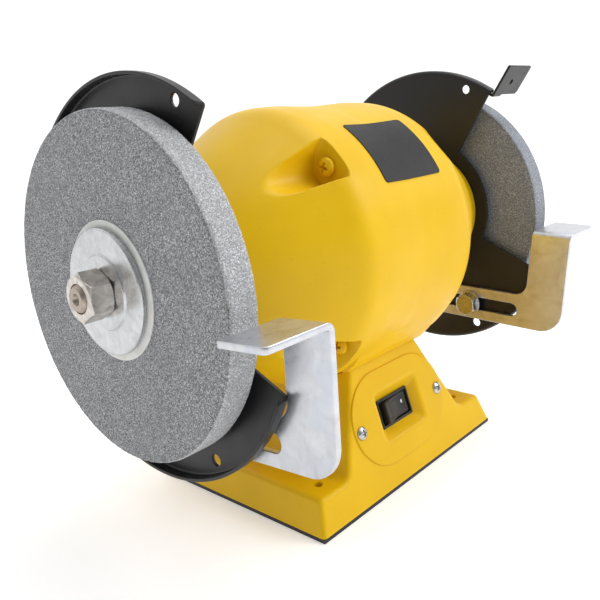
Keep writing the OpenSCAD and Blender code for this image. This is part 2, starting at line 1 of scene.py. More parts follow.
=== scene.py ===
"""Bench grinder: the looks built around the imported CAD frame.

Shapes are worked out in mm and stored in metres. X runs along the shaft, -Y is the switch side and Z is up.
Angles round the shaft are measured from the top towards the front.
"""

import json
import math

import bmesh
import bpy
import numpy as np
from mathutils import Matrix, Vector, geometry


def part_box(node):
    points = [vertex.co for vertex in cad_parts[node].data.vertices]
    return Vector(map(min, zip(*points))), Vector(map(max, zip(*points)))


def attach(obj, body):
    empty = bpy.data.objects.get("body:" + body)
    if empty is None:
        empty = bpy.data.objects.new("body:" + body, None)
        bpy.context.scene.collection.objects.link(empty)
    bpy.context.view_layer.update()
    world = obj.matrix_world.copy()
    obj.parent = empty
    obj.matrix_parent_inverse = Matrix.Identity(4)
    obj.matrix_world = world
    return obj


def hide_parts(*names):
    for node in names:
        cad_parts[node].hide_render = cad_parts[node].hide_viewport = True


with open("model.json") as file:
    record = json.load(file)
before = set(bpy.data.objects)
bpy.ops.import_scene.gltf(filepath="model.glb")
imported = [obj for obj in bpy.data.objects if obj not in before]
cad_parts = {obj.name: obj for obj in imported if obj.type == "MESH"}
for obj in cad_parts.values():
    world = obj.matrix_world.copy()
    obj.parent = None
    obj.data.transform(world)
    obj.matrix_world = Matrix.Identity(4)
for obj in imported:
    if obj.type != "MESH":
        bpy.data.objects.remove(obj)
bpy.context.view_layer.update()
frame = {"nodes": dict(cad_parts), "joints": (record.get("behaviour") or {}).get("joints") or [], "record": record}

MM = 0.001
JOINTS = {j["name"]: j for j in frame["joints"]}
AXIS_Z = JOINTS["rotor_spin"]["pos_m"][2] / MM
CLAMP_Y, CLAMP_Z = [v / MM for v in JOINTS["right_rest_tilt"]["pos_m"][1:]]
CAD_SLOTS = {row["node"]: row["material_slot"] for row in frame["record"]["subparts"]}
RANDOM = np.random.default_rng(11)
SIDES = ((-1, "left"), (1, "right"))
TURN = 2 * math.pi
PIECES = {}


def corner(node, high, axis):
    """One coordinate of a CAD node's box, in mm."""
    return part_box(node)[high][axis] / MM


# ---- mesh helpers ----

NEARLY_STRAIGHT = 1.53
LONGEST_ROUND = 0.48


def add_object(name, data):
    thing = bpy.data.objects.new(name, data)
    bpy.context.scene.collection.objects.link(thing)
    return thing


def make(name, points, faces, body, slot, sharp=40, weighted=False, crisp=None):
    """Adds a piece from points in mm, in place of the CAD node with its name if there is one.

    crisp lists the vertex pairs whose edges stay sharp."""
    mesh = bpy.data.meshes.new(name + "_look")
    mesh.from_pydata([tuple(p) for p in np.asarray(points) * MM], [], [list(f) for f in faces])
    built = bmesh.new()
    built.from_mesh(mesh)
    bmesh.ops.remove_doubles(built, verts=built.verts, dist=1e-7)
    bmesh.ops.recalc_face_normals(built, faces=built.faces)
    built.to_mesh(mesh)
    built.free()
    mesh.shade_smooth()
    if crisp is not None:
        mark_crisp(mesh, crisp)
    else:
        mesh.set_sharp_from_angle(angle=math.radians(sharp))
    thing = add_object(name + "_look", mesh)
    if weighted:
        thing.modifiers.new("weights", "WEIGHTED_NORMAL").keep_sharp = True
    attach(thing, body)
    stands_for = [name] if name in CAD_SLOTS else []
    if stands_for:
        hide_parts(*stands_for)
    PIECES[name] = (thing, slot)
    return thing


def mark_crisp(mesh, pairs):
    wanted = {tuple(sorted(p)) for p in pairs}
    flags = mesh.attributes.get("sharp_edge") or mesh.attributes.new("sharp_edge", "BOOLEAN", "EDGE")
    for edge in mesh.edges:
        flags.data[edge.index].value = tuple(sorted(edge.vertices)) in wanted


def wrapped(angle):
    """The same angle between minus and plus half a turn."""
    return (angle + math.pi) % TURN - math.pi


def around(count):
    """Evenly spaced angles of a whole turn."""
    return np.linspace(0, TURN, count, endpoint=False)


def rounded(points, radius, steps=5):
    """A closed outline with its corners turned into arcs. radius is one number or one for each corner."""
    corners = [np.array(p, float) for p in points]
    radii = [radius] * len(corners) if np.isscalar(radius) else radius
    out = []
    for i, p in enumerate(corners):
        a, b = corners[i - 1] - p, corners[(i + 1) % len(corners)] - p
        la, lb = np.linalg.norm(a), np.linalg.norm(b)
        a, b = a / la, b / lb
        half = math.acos(max(-1.0, min(1.0, float(a @ b)))) / 2
        if radii[i] <= 0 or half > NEARLY_STRAIGHT:
            out.append(p)
            continue
        reach = min(radii[i] / math.tan(half), LONGEST_ROUND * la, LONGEST_ROUND * lb)
        r = reach * math.tan(half)
        middle = p + (a + b) / np.linalg.norm(a + b) * (r / math.sin(half))
        v0, v1 = p + a * reach - middle, p + b * reach - middle
        start = math.atan2(v0[1], v0[0])
        sweep = wrapped(math.atan2(v1[1], v1[0]) - start)
        for k in range(steps + 1):
            turn = start + sweep * k / steps
            out.append(middle + r * np.array([math.cos(turn), math.sin(turn)]))
    return out


def arc(radius, start, end, steps, middle=(0, 0)):
    """Points along an arc, angles in degrees from +X of the outline's own plane."""
    turns = np.radians(np.linspace(start, end, steps + 1))
    return [np.array([middle[0] + radius * math.cos(t), middle[1] + radius * math.sin(t)]) for t in turns]


def ring(radius, middle=(0, 0), steps=32):
    return arc(radius, 0, 360, steps, middle)[:-1]


def widened(values, turns):
    """A column for each angle, where the values are one for each profile point."""
    values = np.asarray(values, float)
    return values if values.ndim == 2 else np.repeat(values[:, None], len(turns), 1)


def lathe_mesh(xs, rs, turns):
    """A closed skin round the shaft line. xs and rs have a row for each profile point."""
    xs, rs = widened(xs, turns), widened(rs, turns)
    points = np.stack([xs, -rs * np.sin(turns), AXIS_Z + rs * np.cos(turns)], -1).reshape(-1, 3)
    index = np.arange(rs.size).reshape(rs.shape)
    a, b = index, np.roll(index, -1, 0)
    return points, np.stack([a, b, np.roll(b, -1, 1), np.roll(a, -1, 1)], -1).reshape(-1, 4)


def lathe(name, xs, rs, turns, body, slot, **more):
    return make(name, *lathe_mesh(xs, rs, turns), body, slot, **more)


def turned(name, profile, radius, body, slot, segments=128, steps=3, **more):
    """A lathe piece from a closed profile of (x, radius) corners, each rounded."""
    path = np.array(rounded(profile, radius, steps))
    return lathe(name, path[:, 0], path[:, 1], around(segments), body, slot, weighted=True, sharp=60, **more)


# ---- solids from distance fields ----

CENTRE_PULL = 0.06


def meet(radius, *fields):
    """Inside every field, with outer edges rounded."""
    grown = [f + radius for f in fields]
    out = np.sqrt(sum(np.maximum(f, 0) ** 2 for f in grown))
    return np.minimum(np.maximum.reduce(grown), 0) + out - radius


def join(radius, *fields):
    """Inside any field, with a fillet where they meet."""
    return -meet(radius, *[-f for f in fields])


def cut(radius, body, tool):
    return meet(radius, body, -tool)


def box_field(p, low, high, radius=0.0):
    return meet(radius, *[f for i in range(3) for f in (low[i] - p[:, i], p[:, i] - high[i])])


def slopes(field, p, h=0.002):
    g = np.stack([field(p + h * e) - field(p - h * e) for e in np.eye(3)], -1)
    return g / np.maximum(np.linalg.norm(g, axis=1, keepdims=True), 1e-9)


def contour(field, low, high, step):
    """Points and quads of the skin where field is zero.

    Edges stay crisp, because each point sits where the tangent planes of its cell meet."""
    low = np.array(low, float) - 1.37 * step
    counts = np.ceil((np.array(high, float) + 1.5 * step - low) / step).astype(int) + 1
    axes = [low[i] + step * np.arange(counts[i]) for i in range(3)]
    value = np.empty(tuple(counts))
    flat = np.stack(np.meshgrid(axes[1], axes[2], indexing="ij"), -1).reshape(-1, 2)
    for i, x in enumerate(axes[0]):
        value[i] = field(np.column_stack([np.full(len(flat), x), flat])).reshape(counts[1:])
    inside = value < 0
    cells, quads, spots = [], [], []
    for a in range(3):
        first = [slice(None)] * 3
        second = [slice(None)] * 3
        first[a], second[a] = slice(0, -1), slice(1, None)
        change = inside[tuple(first)] != inside[tuple(second)]
        at = np.argwhere(change)
        if not len(at):
            continue
        v0 = value[tuple(first)][change]
        v1 = value[tuple(second)][change]
        spot = low + step * at
        spot[:, a] += step * v0 / (v0 - v1)
        b, c = (a + 1) % 3, (a + 2) % 3
        around = []
        for db, dc in ((0, 0), (1, 0), (1, 1), (0, 1)):
            cell = at.copy()
            cell[:, b] -= db
            cell[:, c] -= dc
            around.append(np.ravel_multi_index(cell.T, tuple(counts)))
        around = np.stack(around, -1)
        leaving = v0 < 0
        quads.append(np.where(leaving[:, None], around, around[:, ::-1]))
        cells.append(around)
        spots.append(spot)
    cells, quads, spots = np.concatenate(cells), np.concatenate(quads), np.concatenate(spots)
    normals = slopes(field, spots)
    ids, where = np.unique(cells, return_inverse=True)
    where = where.reshape(cells.shape)
    total = len(ids)
    count = np.bincount(where.ravel(), minlength=total).astype(float)
    add = lambda per_edge: sum(np.bincount(where[:, k], per_edge, total) for k in range(4))
    middle = np.stack([add(spots[:, i]) for i in range(3)], -1) / count[:, None]
    along = (normals * spots).sum(1)
    matrix = np.empty((total, 3, 3))
    side = np.empty((total, 3))
    for i in range(3):
        side[:, i] = add(normals[:, i] * along)
        for j in range(3):
            matrix[:, i, j] = add(normals[:, i] * normals[:, j])
    matrix += CENTRE_PULL * np.eye(3)
    side += CENTRE_PULL * middle
    points = np.linalg.solve(matrix, side[..., None])[..., 0]
    cell_low = low + step * np.stack(np.unravel_index(ids, tuple(counts)), -1)
    points = np.clip(points, cell_low - 0.1 * step, cell_low + 1.1 * step)
    faces = np.searchsorted(ids, quads)
    return points, faces


def placed(mesh, matrix):
    """The same mesh moved by a 4 by 4 matrix in mm."""
    points, faces = mesh
    m = np.array(matrix)
    return points @ m[:3, :3].T + m[:3, 3], faces


def together(meshes):
    points, faces, start = [], [], 0
    for p, f in meshes:
        points.append(np.asarray(p))
        faces.extend([v + start for v in face] for face in f)
        start += len(p)
    return np.concatenate(points), faces


def frame_matrix(origin, x_axis, z_axis):
    """Places a local frame at origin, mm, with its Z along z_axis and X as near x_axis as it can be."""
    z = Vector(z_axis).normalized()
    y = z.cross(Vector(x_axis)).normalized()
    x = y.cross(z)
    out = Matrix((x, y, z)).transposed().to_4x4()
    out.translation = Vector(origin)
    return out


def on_side(points, side):
    """Points of the right side, or their mirror image when side is -1."""
    return np.asarray(points) * np.array([side, 1, 1])


# ---- sheet metal ----


def area(loop):
    p = np.asarray(loop)
    q = np.roll(p, -1, 0)
    return 0.5 * float(np.sum(p[:, 0] * q[:, 1] - q[:, 0] * p[:, 1]))


def shrunk(loop, amount):
    """The loop moved into the material by amount: to its left."""
    p = np.asarray(loop, float)
    ahead = np.roll(p, -1, 0) - p
    ahead /= np.linalg.norm(ahead, axis=1, keepdims=True)
    normal = np.stack([-ahead[:, 1], ahead[:, 0]], -1)
    both = normal + np.roll(normal, 1, 0)
    both /= np.linalg.norm(both, axis=1, keepdims=True)
    stretch = 1 / np.maximum((both * normal).sum(1, keepdims=True), 0.6)
    return p + both * stretch * amount


def covers(loop, spots):
    """True for each spot inside the loop."""
    p = np.asarray(loop)
    q = np.roll(p, -1, 0)
    x, y = spots[:, :1], spots[:, 1:]
    crosses = (p[:, 1] > y) != (q[:, 1] > y)
    with np.errstate(divide="ignore", invalid="ignore"):
        at = p[:, 0] + (y - p[:, 1]) / (q[:, 1] - p[:, 1]) * (q[:, 0] - p[:, 0])
    return (crosses & (x < at)).sum(1) % 2 == 1


def sheet(loops, thickness, edge, guides, shape):
    """A flat blank with rounded cut edges, bent by shape. loops[0] is the outline, the others are holes.

    guides are lines cut into the blank so that it can bend. shape maps arrays u, v, w to places in mm, and w
    runs from minus to plus half the thickness. Gives points, faces and the pairs along the crisp lines."""
    points2, lines, limits = [], [], []
    for i, loop in enumerate(loops):
        loop = np.asarray(loop, float)
        if (area(loop) > 0) != (i == 0):
            loop = loop[::-1]
        loop = shrunk(loop, edge)
        limits.append(loop)
        start = len(points2)
        points2 += [tuple(p) for p in loop]
        lines += [(start + k, start + (k + 1) % len(loop)) for k in range(len(loop))]
    for guide in guides:
        start = len(points2)
        points2 += [tuple(p) for p in guide]
        lines += [(start + k, start + k + 1) for k in range(len(guide) - 1)]
    result = geometry.delaunay_2d_cdt([Vector(p) for p in points2], lines, [], 0, 1e-5)
    flat = np.array([tuple(p) for p in result[0]])
    triangles = np.array([f for f in result[2] if len(f) == 3])
    centres = flat[triangles].mean(1)
    keep = covers(limits[0], centres)
    for hole in limits[1:]:
        keep &= ~covers(hole, centres)
    triangles = triangles[keep]
    corners = flat[triangles]
    turn = (corners[:, 1, 0] - corners[:, 0, 0]) * (corners[:, 2, 1] - corners[:, 0, 1])
    turn -= (corners[:, 1, 1] - corners[:, 0, 1]) * (corners[:, 2, 0] - corners[:, 0, 0])
    triangles = triangles[np.abs(turn) > 1e-9]
    turn = turn[np.abs(turn) > 1e-9]
    triangles[turn < 0] = triangles[turn < 0][:, ::-1]
    directed = {(int(t[k]), int(t[(k + 1) % 3])) for t in triangles for k in range(3)}
    rim = [(a, b) for a, b in directed if (b, a) not in directed]
    outward = {}
    for a, b in rim:
        d = flat[b] - flat[a]
        n = np.array([d[1], -d[0]]) / np.linalg.norm(d)
        for v in (a, b):
            outward.setdefault(v, []).append(n)
    push = {}
    for v, ns in outward.items():
        n = sum(ns)
        n = n / np.linalg.norm(n)
        push[v] = n / max(float(n @ ns[0]), 0.6)
    used = sorted({int(v) for v in triangles.ravel()})
    place = {v: i for i, v in enumerate(used)}
    half = thickness / 2
    uvw = [(*flat[v], half) for v in used] + [(*flat[v], -half) for v in used]
    count = len(used)
    faces = [[place[int(v)] for v in t] for t in triangles]
    faces += [[count + place[int(v)] for v in t][::-1] for t in triangles]
    rims = sorted(push)
    levels = [(edge * math.sin(t), half - edge * (1 - math.cos(t))) for t in (math.pi / 4, math.pi / 2)]
    rows = [{v: place[v] for v in rims}]
    for out, w in levels + [(o, -w) for o, w in levels[::-1]]:
        start = len(uvw)
        uvw += [(*(flat[v] + push[v] * out), w) for v in rims]
        rows.append({v: start + i for i, v in enumerate(rims)})
    rows.append({v: count + place[v] for v in rims})
    for above, below in zip(rows, rows[1:]):
        faces += [[above[a], below[a], below[b], above[b]] for a, b in rim]
    crisp = [(rows[i][a], rows[i][b]) for i in (0, -1) for a, b in rim]
    uvw = np.array(uvw)
    return np.asarray(shape(uvw[:, 0], uvw[:, 1], uvw[:, 2])), faces, crisp


def add_sheet(name, cut_sheet, side, body, slot, **more):
    points, faces, crisp = cut_sheet
    return make(name, on_side(points, side), faces, body, slot, crisp=crisp, **more)


# ---- motor body ----

BARREL_HALF = 37.0
BELL_END = corner("right_bell", 1, 0)
BARREL_BORE = 68.5
BODY_LINE = ((0, 71.8), (12, 72.2), (27, 72.9), (37, 72.6), (40.5, 72.3), (44, 71.3), (47.5, 69.6),
             (51, 67.4), (97, 41.6), (100, 39.6), (103, 37.4), (109, 37))
INNER_LINE = ((37, 68.5), (42, 67.9), (46.5, 66), (51, 62.6), (96.5, 37), (100, 35), (104, 32.6))
HOUSING_IN, HOUSING_END, HOUSING_BORE, HOUSING_RADIUS, END_HOLE = 92, 104, 17.5, 22.5, 9.5
NOSE_X, NOSE_RADIUS = 109, 22
BOLT_TURNS = (47.6, -47.6, 132.4, 227.6)
POCKET_ANGLES = np.radians([47.6, -47.6, 132.4, -132.4])
POCKET_CIRCLE, POCKET_RADIUS, POCKET_X = 64.0, 9.25, 41.0


FAR = 200.0


def soft_min(a, b, blend):
    """The smaller of two heights, with a fillet of about blend between them."""
    h = np.clip(0.5 + 0.5 * (b - a) / blend, 0, 1)
    return b + (a - b) * h - blend * h * (1 - h)


def soft_line(x, line, spread):
    """Height of a line of (x, height) corners, with the corners smoothed over spread."""
    xs, hs = zip(*line)
    offsets = np.linspace(-2, 2, 17)
    weights = np.exp(-(offsets**2))
    total = sum(w * np.interp(x + o * spread, xs, hs) for o, w in zip(offsets, weights))
    return total / weights.sum()


def body_radius(x):
    return soft_line(np.abs(x), BODY_LINE, 2.0)


def pocket_floor(x, turn, grow=0.0):
    """Radius of the four screw pockets' walls: a trough along the shaft that stops at a flat end wall."""
    best = np.full(np.broadcast(x, turn).shape, FAR)
    radius = POCKET_RADIUS + grow
    for middle in POCKET_ANGLES:
        off = wrapped(turn - middle)
        across = np.abs(POCKET_CIRCLE * np.sin(off)) + np.where(np.abs(off) > 1.2, FAR, 0)
        floor = POCKET_CIRCLE - np.sqrt(np.maximum(radius**2 - across**2, 0))
        floor = floor + np.maximum(across - radius, 0) * 6 + np.maximum(POCKET_X - grow - x, 0) * 9
        best = np.minimum(best, floor)
    return best


def bell_outside(x, turn):
    return soft_min(body_radius(x), pocket_floor(x, turn), 1.6)


def bell_inside(x, turn):
    plain = soft_line(x, INNER_LINE, 1.0)
    return np.minimum(plain, pocket_floor(x, turn, 2.8) - 2.2)


def pocket_turns():
    """Angles round the shaft, close together where the pocket walls are."""
    turns = set(np.round(np.linspace(-180, 180, 181)[:-1], 3))
    edge = math.degrees(math.asin(POCKET_RADIUS / POCKET_CIRCLE))
    for middle in np.degrees(POCKET_ANGLES):
        turns = {t for t in turns if abs(t - middle) > edge + 2.4}
        near = np.concatenate([np.arange(-edge - 2.1, -edge + 1.5, 0.3),
                               np.arange(-edge + 1.6, edge - 1.4, 0.8),
                               np.arange(edge - 1.5, edge + 2.2, 0.3)])
        turns |= set(np.round(middle + near, 3))
    return np.radians(sorted(turns))


def bell(side, name):
    turns = pocket_turns()
    outer_x = np.concatenate([np.arange(37, 39, 0.5), np.arange(39, 43.5, 0.25),
                              np.arange(43.5, 80, 0.9), np.arange(80, 107, 1.5)])
    outer_r = bell_outside(outer_x[:, None], turns[None])
    end = body_radius(108)
    nose = [(107.6, end), (108.5, end - 0.35), (NOSE_X, end - 1.2), (NOSE_X, NOSE_RADIUS), (NOSE_X, END_HOLE),
            (HOUSING_END, END_HOLE), (HOUSING_END, HOUSING_BORE), (HOUSING_IN, HOUSING_BORE),
            (HOUSING_IN, HOUSING_RADIUS), (HOUSING_END, HOUSING_RADIUS)]
    inner_x = np.concatenate([np.arange(104, 46, -2.0), np.arange(46, 37.5, -0.5), [37.0]])
    inner_r = bell_inside(inner_x[:, None], turns[None])
    xs = np.concatenate([outer_x, [p[0] for p in nose], inner_x])
    rs = np.concatenate([outer_r, widened([p[1] for p in nose], turns), inner_r])
    return lathe(name, side * xs, rs, turns, "base", "yellow_paint", sharp=48)


FOOT_HALF_X, FOOT_DROP = 32.5, 61.5
FOOT_SIDE = ((42.5, -61.5), (49.0, -55.0), (55.0, -46.5))


def foot_radius(turn):
    """How far from the shaft line the foot's outline is, or nothing above it."""
    low = np.abs((turn + TURN) % TURN - math.pi)
    reach = np.where(low < 1.2, FOOT_DROP / np.maximum(np.cos(low), 0.3), 0)
    for (y0, z0), (y1, z1) in zip(FOOT_SIDE, FOOT_SIDE[1:]):
        a0, a1 = math.atan2(y0, -z0), math.atan2(y1, -z1)
        dy, dz = y1 - y0, z1 - z0
        distance = (y0 * dz - z0 * dy) / (np.sin(low) * dz + np.cos(low) * dy)
        reach = np.where((low >= a0) & (low <= a1), distance, reach)
    return np.where(low <= math.atan2(FOOT_SIDE[-1][0], -FOOT_SIDE[-1][1]), reach, 0)


def motor_shell():
    turns = set(np.round(np.linspace(-180, 180, 181)[:-1], 3))
    turns |= {round(s * (180 - t), 3) for s in (-1, 1) for t in np.arange(30, 51, 0.4)}
    turns = np.radians(sorted(turns))
    dense = np.arange(FOOT_HALF_X - 1.0, FOOT_HALF_X + 1.05, 0.2)
    xs = np.concatenate([np.linspace(0, 31, 24), dense, [34.5, 35.5, BARREL_HALF]])
    xs = np.concatenate([-xs[:0:-1], xs])
    outer = body_radius(xs)[:, None] + 0 * turns[None]
    foot = foot_radius(turns)[None] - np.maximum(np.abs(xs) - FOOT_HALF_X, 0)[:, None] * 9
    outer = -soft_min(-outer, -foot, 0.5)
    inner_x = xs[::-4]
    rs = np.concatenate([outer, np.full((len(inner_x), len(turns)), BARREL_BORE)])
    return lathe("motor_shell", np.concatenate([xs, inner_x]), rs, turns, "base", "yellow_paint", sharp=32)


# ---- base ----

FRONT_SLOPE, SIDE_SLOPE, PEDESTAL_SLOPE = 0.306, 0.289, 0.4702
BASE_HALF_X, BASE_HALF_Y = 75.9, 60.8
PLATE_TOP, FLANGE_TOP, SEAM_Z = 2.0, 18.0, AXIS_Z - 61.6
PEDESTAL_LOW_X = 50.5
CRADLE_RADIUS = 73.1
FLANGE_WALL, FLANGE_ROOF, SIDE_WALL, FRONT_WALL, CRADLE_WEB = 6, 5, 4.6, 4.2, 4
BENCH_X, BENCH_Y, BENCH_RADIUS, BOSS_RADIUS = 60.5, 44.0, 2.2, 11.5
LEAN = math.atan(FRONT_SLOPE)
FACE_Z = 36.0
FACE_ORIGIN = Vector((0, -(BASE_HALF_Y - FRONT_SLOPE * FACE_Z), FACE_Z))
FACE_OUT = Vector((0, -math.cos(LEAN), math.sin(LEAN)))
ON_FACE = frame_matrix(FACE_ORIGIN, (1, 0, 0), FACE_OUT)
FACE_STRAIGHT, FACE_ROUND = 14.0, 24.5
SEAT_DEPTH, SEAT_INSET = 2.6, 2.0
WINDOW_X, WINDOW_Y, WINDOW_DEPTH = 21, 16, 12
PLATE_LOW, PLATE_HIGH = -1.15, 0.75


def lean_plane(across, at_zero, slope, z):
    """Distance outside a wall that leans in by slope."""
    return (across - (at_zero - slope * z)) / math.sqrt(1 + slope * slope)


def on_face(p):
    """Points in the leaning front face's own frame."""
    m = np.array(ON_FACE.inverted())
    return p @ m[:3, :3].T + m[:3, 3]


def stadium(q, gap=0.0):
    x = np.maximum(np.abs(q[:, 0]) - FACE_STRAIGHT, 0)
    return np.hypot(x, q[:, 1]) - FACE_ROUND - gap


def base_field(p):
    x, y, z = np.abs(p[:, 0]), np.abs(p[:, 1]), p[:, 2]
    side = lean_plane(x, BASE_HALF_X, SIDE_SLOPE, z)
    wall = lean_plane(x, PEDESTAL_LOW_X + PEDESTAL_SLOPE * FLANGE_TOP, PEDESTAL_SLOPE, z)
    face = lean_plane(y, BASE_HALF_Y, FRONT_SLOPE, z)
    profile = join(3.5, meet(1.8, side, z - FLANGE_TOP), wall)
    shell = meet(1.9, profile, face)
    shell = meet(0.5, shell, z - SEAM_Z, PLATE_TOP - z)
    round_motor = np.hypot(p[:, 1], z - AXIS_Z)
    shell = meet(0.2, shell, CRADLE_RADIUS - round_motor)
    roof = meet(3, side + FLANGE_WALL, face + FLANGE_WALL, z - FLANGE_TOP + FLANGE_ROOF)
    tower = meet(3, wall + SIDE_WALL, face + FRONT_WALL, CRADLE_RADIUS + CRADLE_WEB - round_motor)
    hollow = join(2, roof, tower)
    from_bench_hole = np.hypot(x - BENCH_X, y - BENCH_Y)
    shell = cut(0.3, shell, np.maximum(hollow, BOSS_RADIUS - from_bench_hole))
    shell = cut(0.3, shell, from_bench_hole - BENCH_RADIUS)
    q = on_face(p)
    seat = np.maximum(stadium(q, -SEAT_INSET), -SEAT_DEPTH - q[:, 2])
    window = [np.abs(q[:, 0]) - WINDOW_X, np.abs(q[:, 1]) - WINDOW_Y, -WINDOW_DEPTH - q[:, 2]]
    return cut(0.15, shell, np.minimum(seat, np.maximum.reduce(window)))


def base_casting():
    low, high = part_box("base_casting")
    mesh = contour(base_field, np.array(low) / MM, np.array(high) / MM, 1.1)
    return make("base_casting", *mesh, "base", "yellow_paint", sharp=50)


# ---- switch ----

SCREW_X, SCREW_Y, SCREW_HOLE = 33.7, -1.4, 2.1
DISH_DEPTH = 5.0
TUB_DEPTH = DISH_DEPTH + 2
# Half width at the plate's middle and slope of a wall.
TUB_X, TUB_Y, DISH_X, DISH_Y = (20.0, -0.65), (15.0, -0.73), (17.2, -0.84), (12.4, -0.92)
HOLE, BEZEL, CASE, WELL = (12.5, 7.1), (13.1, 7.7), (12.3, 6.9), (11.9, 6.3)
BEZEL_TOP, CASE_LOW, WELL_LOW, SNAP_LOW = -3.4, -DISH_DEPTH - 19, -DISH_DEPTH - 9, -32
ROCKER_TILT, ROCKER_PIVOT = math.radians(9), -8.2
ROCKER_PIN, PIN_HALF, PIN_PLAY = 1.2, 6.7, 0.05
ROCKER_X, ROCKER_Y, ROCKER_TOP, ROCKER_KEEL, ROCKER_SWELL, SWELL_SPAN = 10.7, 5.9, 4.6, 4.5, 1.1, 8
MARK_X, MARK_Y = 6.2, 1.1
MARK_PROFILE = ((0, 0.07), (0.9, 0.05), (1.05, -0.02), (1.05, -0.3), (0, -0.3))


def plate_field(p):
    x, y, z = np.abs(p[:, 0]), np.abs(p[:, 1]), p[:, 2]
    plate = meet(0.45, stadium(p), z - PLATE_HIGH, PLATE_LOW - z)
    tub = meet(2, lean_plane(x, *TUB_X, z), lean_plane(y, *TUB_Y, z))
    tub = np.maximum.reduce([tub, -TUB_DEPTH - z, z - 0.2])
    dish = meet(2.2, lean_plane(x, *DISH_X, z), lean_plane(y, *DISH_Y, z))
    dish = meet(1.2, dish, -DISH_DEPTH - z)
    field = cut(1.3, np.minimum(plate, tub), dish)
    hole = np.maximum(x - HOLE[0], y - HOLE[1])
    screws = np.hypot(x - SCREW_X, p[:, 1] - SCREW_Y) - SCREW_HOLE
    return np.maximum(field, -np.minimum(hole, screws))


def switch_plate():
    mesh = contour(plate_field, (-39, -25, -TUB_DEPTH), (39, 25, 1), 0.6)
    return make("switch_plate", *placed(mesh, ON_FACE), "base", "yellow_plastic", sharp=50)


def switch_body():
    centred = lambda half, low, high: ((-half[0], -half[1], low), (*half, high))

    def field(p):
        bezel = box_field(p, *centred(BEZEL, -DISH_DEPTH, BEZEL_TOP), 0.5)
        case = box_field(p, *centred(CASE, CASE_LOW, -4), 0.3)
        well = box_field(p, *centred(WELL, WELL_LOW, 10))
        tabs = np.minimum(*[box_field(p, (x - 0.4, -3, SNAP_LOW), (x + 0.4, 3, -23)) for x in (-6, 6)])
        bore = np.hypot(p[:, 0], p[:, 2] - ROCKER_PIVOT) - ROCKER_PIN - PIN_PLAY
        return np.minimum(np.maximum(cut(0.2, np.minimum(bezel, case), well), -bore), tabs)

    mesh = contour(field, *centred(BEZEL, SNAP_LOW, BEZEL_TOP), 0.4)
    return make("switch_body", *placed(mesh, ON_FACE), "base", "black_plastic", sharp=50)


def rocker_frame():
    return ON_FACE @ Matrix.Translation((0, 0, ROCKER_PIVOT)) @ Matrix.Rotation(ROCKER_TILT, 4, "Y")


def rocker():
    def field(p):
        x, y, z = np.abs(p[:, 0]), np.abs(p[:, 1]), p[:, 2]
        top = z - (ROCKER_TOP + ROCKER_SWELL * np.minimum(x / SWELL_SPAN, 1) ** 2)
        keel = (-(z + ROCKER_KEEL) + (x - 3) * 0.39) * 0.93
        ribs = 0.12 * np.exp(-(((y - 4.3) / 0.45) ** 2)) * (x < 8.6)
        pin = meet(0.15, np.hypot(x, z) - ROCKER_PIN, y - PIN_HALF)
        return np.minimum(meet(0.7, x - ROCKER_X, y - ROCKER_Y, top + ribs, keel, -ROCKER_KEEL - z), pin)

    high = ROCKER_TOP + ROCKER_SWELL
    mesh = contour(field, (-ROCKER_X, -PIN_HALF, -ROCKER_KEEL), (ROCKER_X, PIN_HALF, high), 0.33)
    make("rocker", *placed(mesh, rocker_frame()), "rocker", "black_plastic", sharp=55)
    face = ROCKER_TOP + ROCKER_SWELL * (MARK_X / SWELL_SPAN) ** 2
    points, faces = revolved([(face + z, r) for r, z in MARK_PROFILE], 24, closed=False)
    points = points + np.array([MARK_X, MARK_Y, 0])
    make("rocker_mark", *placed((points, faces), rocker_frame()), "rocker", "white_plastic")


# ---- screws, bolts and nuts ----


def revolved(path, segments, closed=True):
    """A skin of (height, radius) points turned about Z."""
    m = len(path)
    points, faces = [], []
    for k in range(segments):
        t = TURN * k / segments
        points += [(r * math.cos(t), r * math.sin(t), z) for z, r in path]
        a, b = k * m, (k + 1) % segments * m
        faces += [[a + i, a + (i + 1) % m, b + (i + 1) % m, b + i] for i in range(m if closed else m - 1)]
    return np.array(points), faces


def tube(outer, inner, length, edge=0.25, segments=48):
    """A ring along Z from zero with rounded edges."""
    return revolved(rounded([(0, inner), (0, outer), (length, outer), (length, inner)], edge, 3), segments)


def cross_screw(shank, length, head, height):
    """A pan head screw with a cross recess, its head's underside at zero and its tip below."""
    def field(p):
        x, y, z = p[:, 0], p[:, 1], p[:, 2]
        r = np.hypot(x, y)
        dome = np.sqrt(r**2 + (z - height + head * 1.5) ** 2) - head * 1.5
        cap = meet(0.25, r - head, -z, dome)
        pin = meet(0.2, r - shank, z - 0.5, -length - z)
        depth = height - z
        arms = [np.maximum(np.abs(a) - head * 0.17 + depth * 0.12, np.abs(b) - head * 0.6 + depth * 0.45)
                for a, b in ((x, y), (y, x))]
        recess = np.maximum(np.minimum(*arms), depth - height * 0.75)
        return np.maximum(np.minimum(cap, pin), -recess)

    return contour(field, (-head, -head, -length), (head, head, height), 0.2)


CHAMFER_AT, CONE_SIDE, CONE_UP = 0.485, 0.5, 0.866


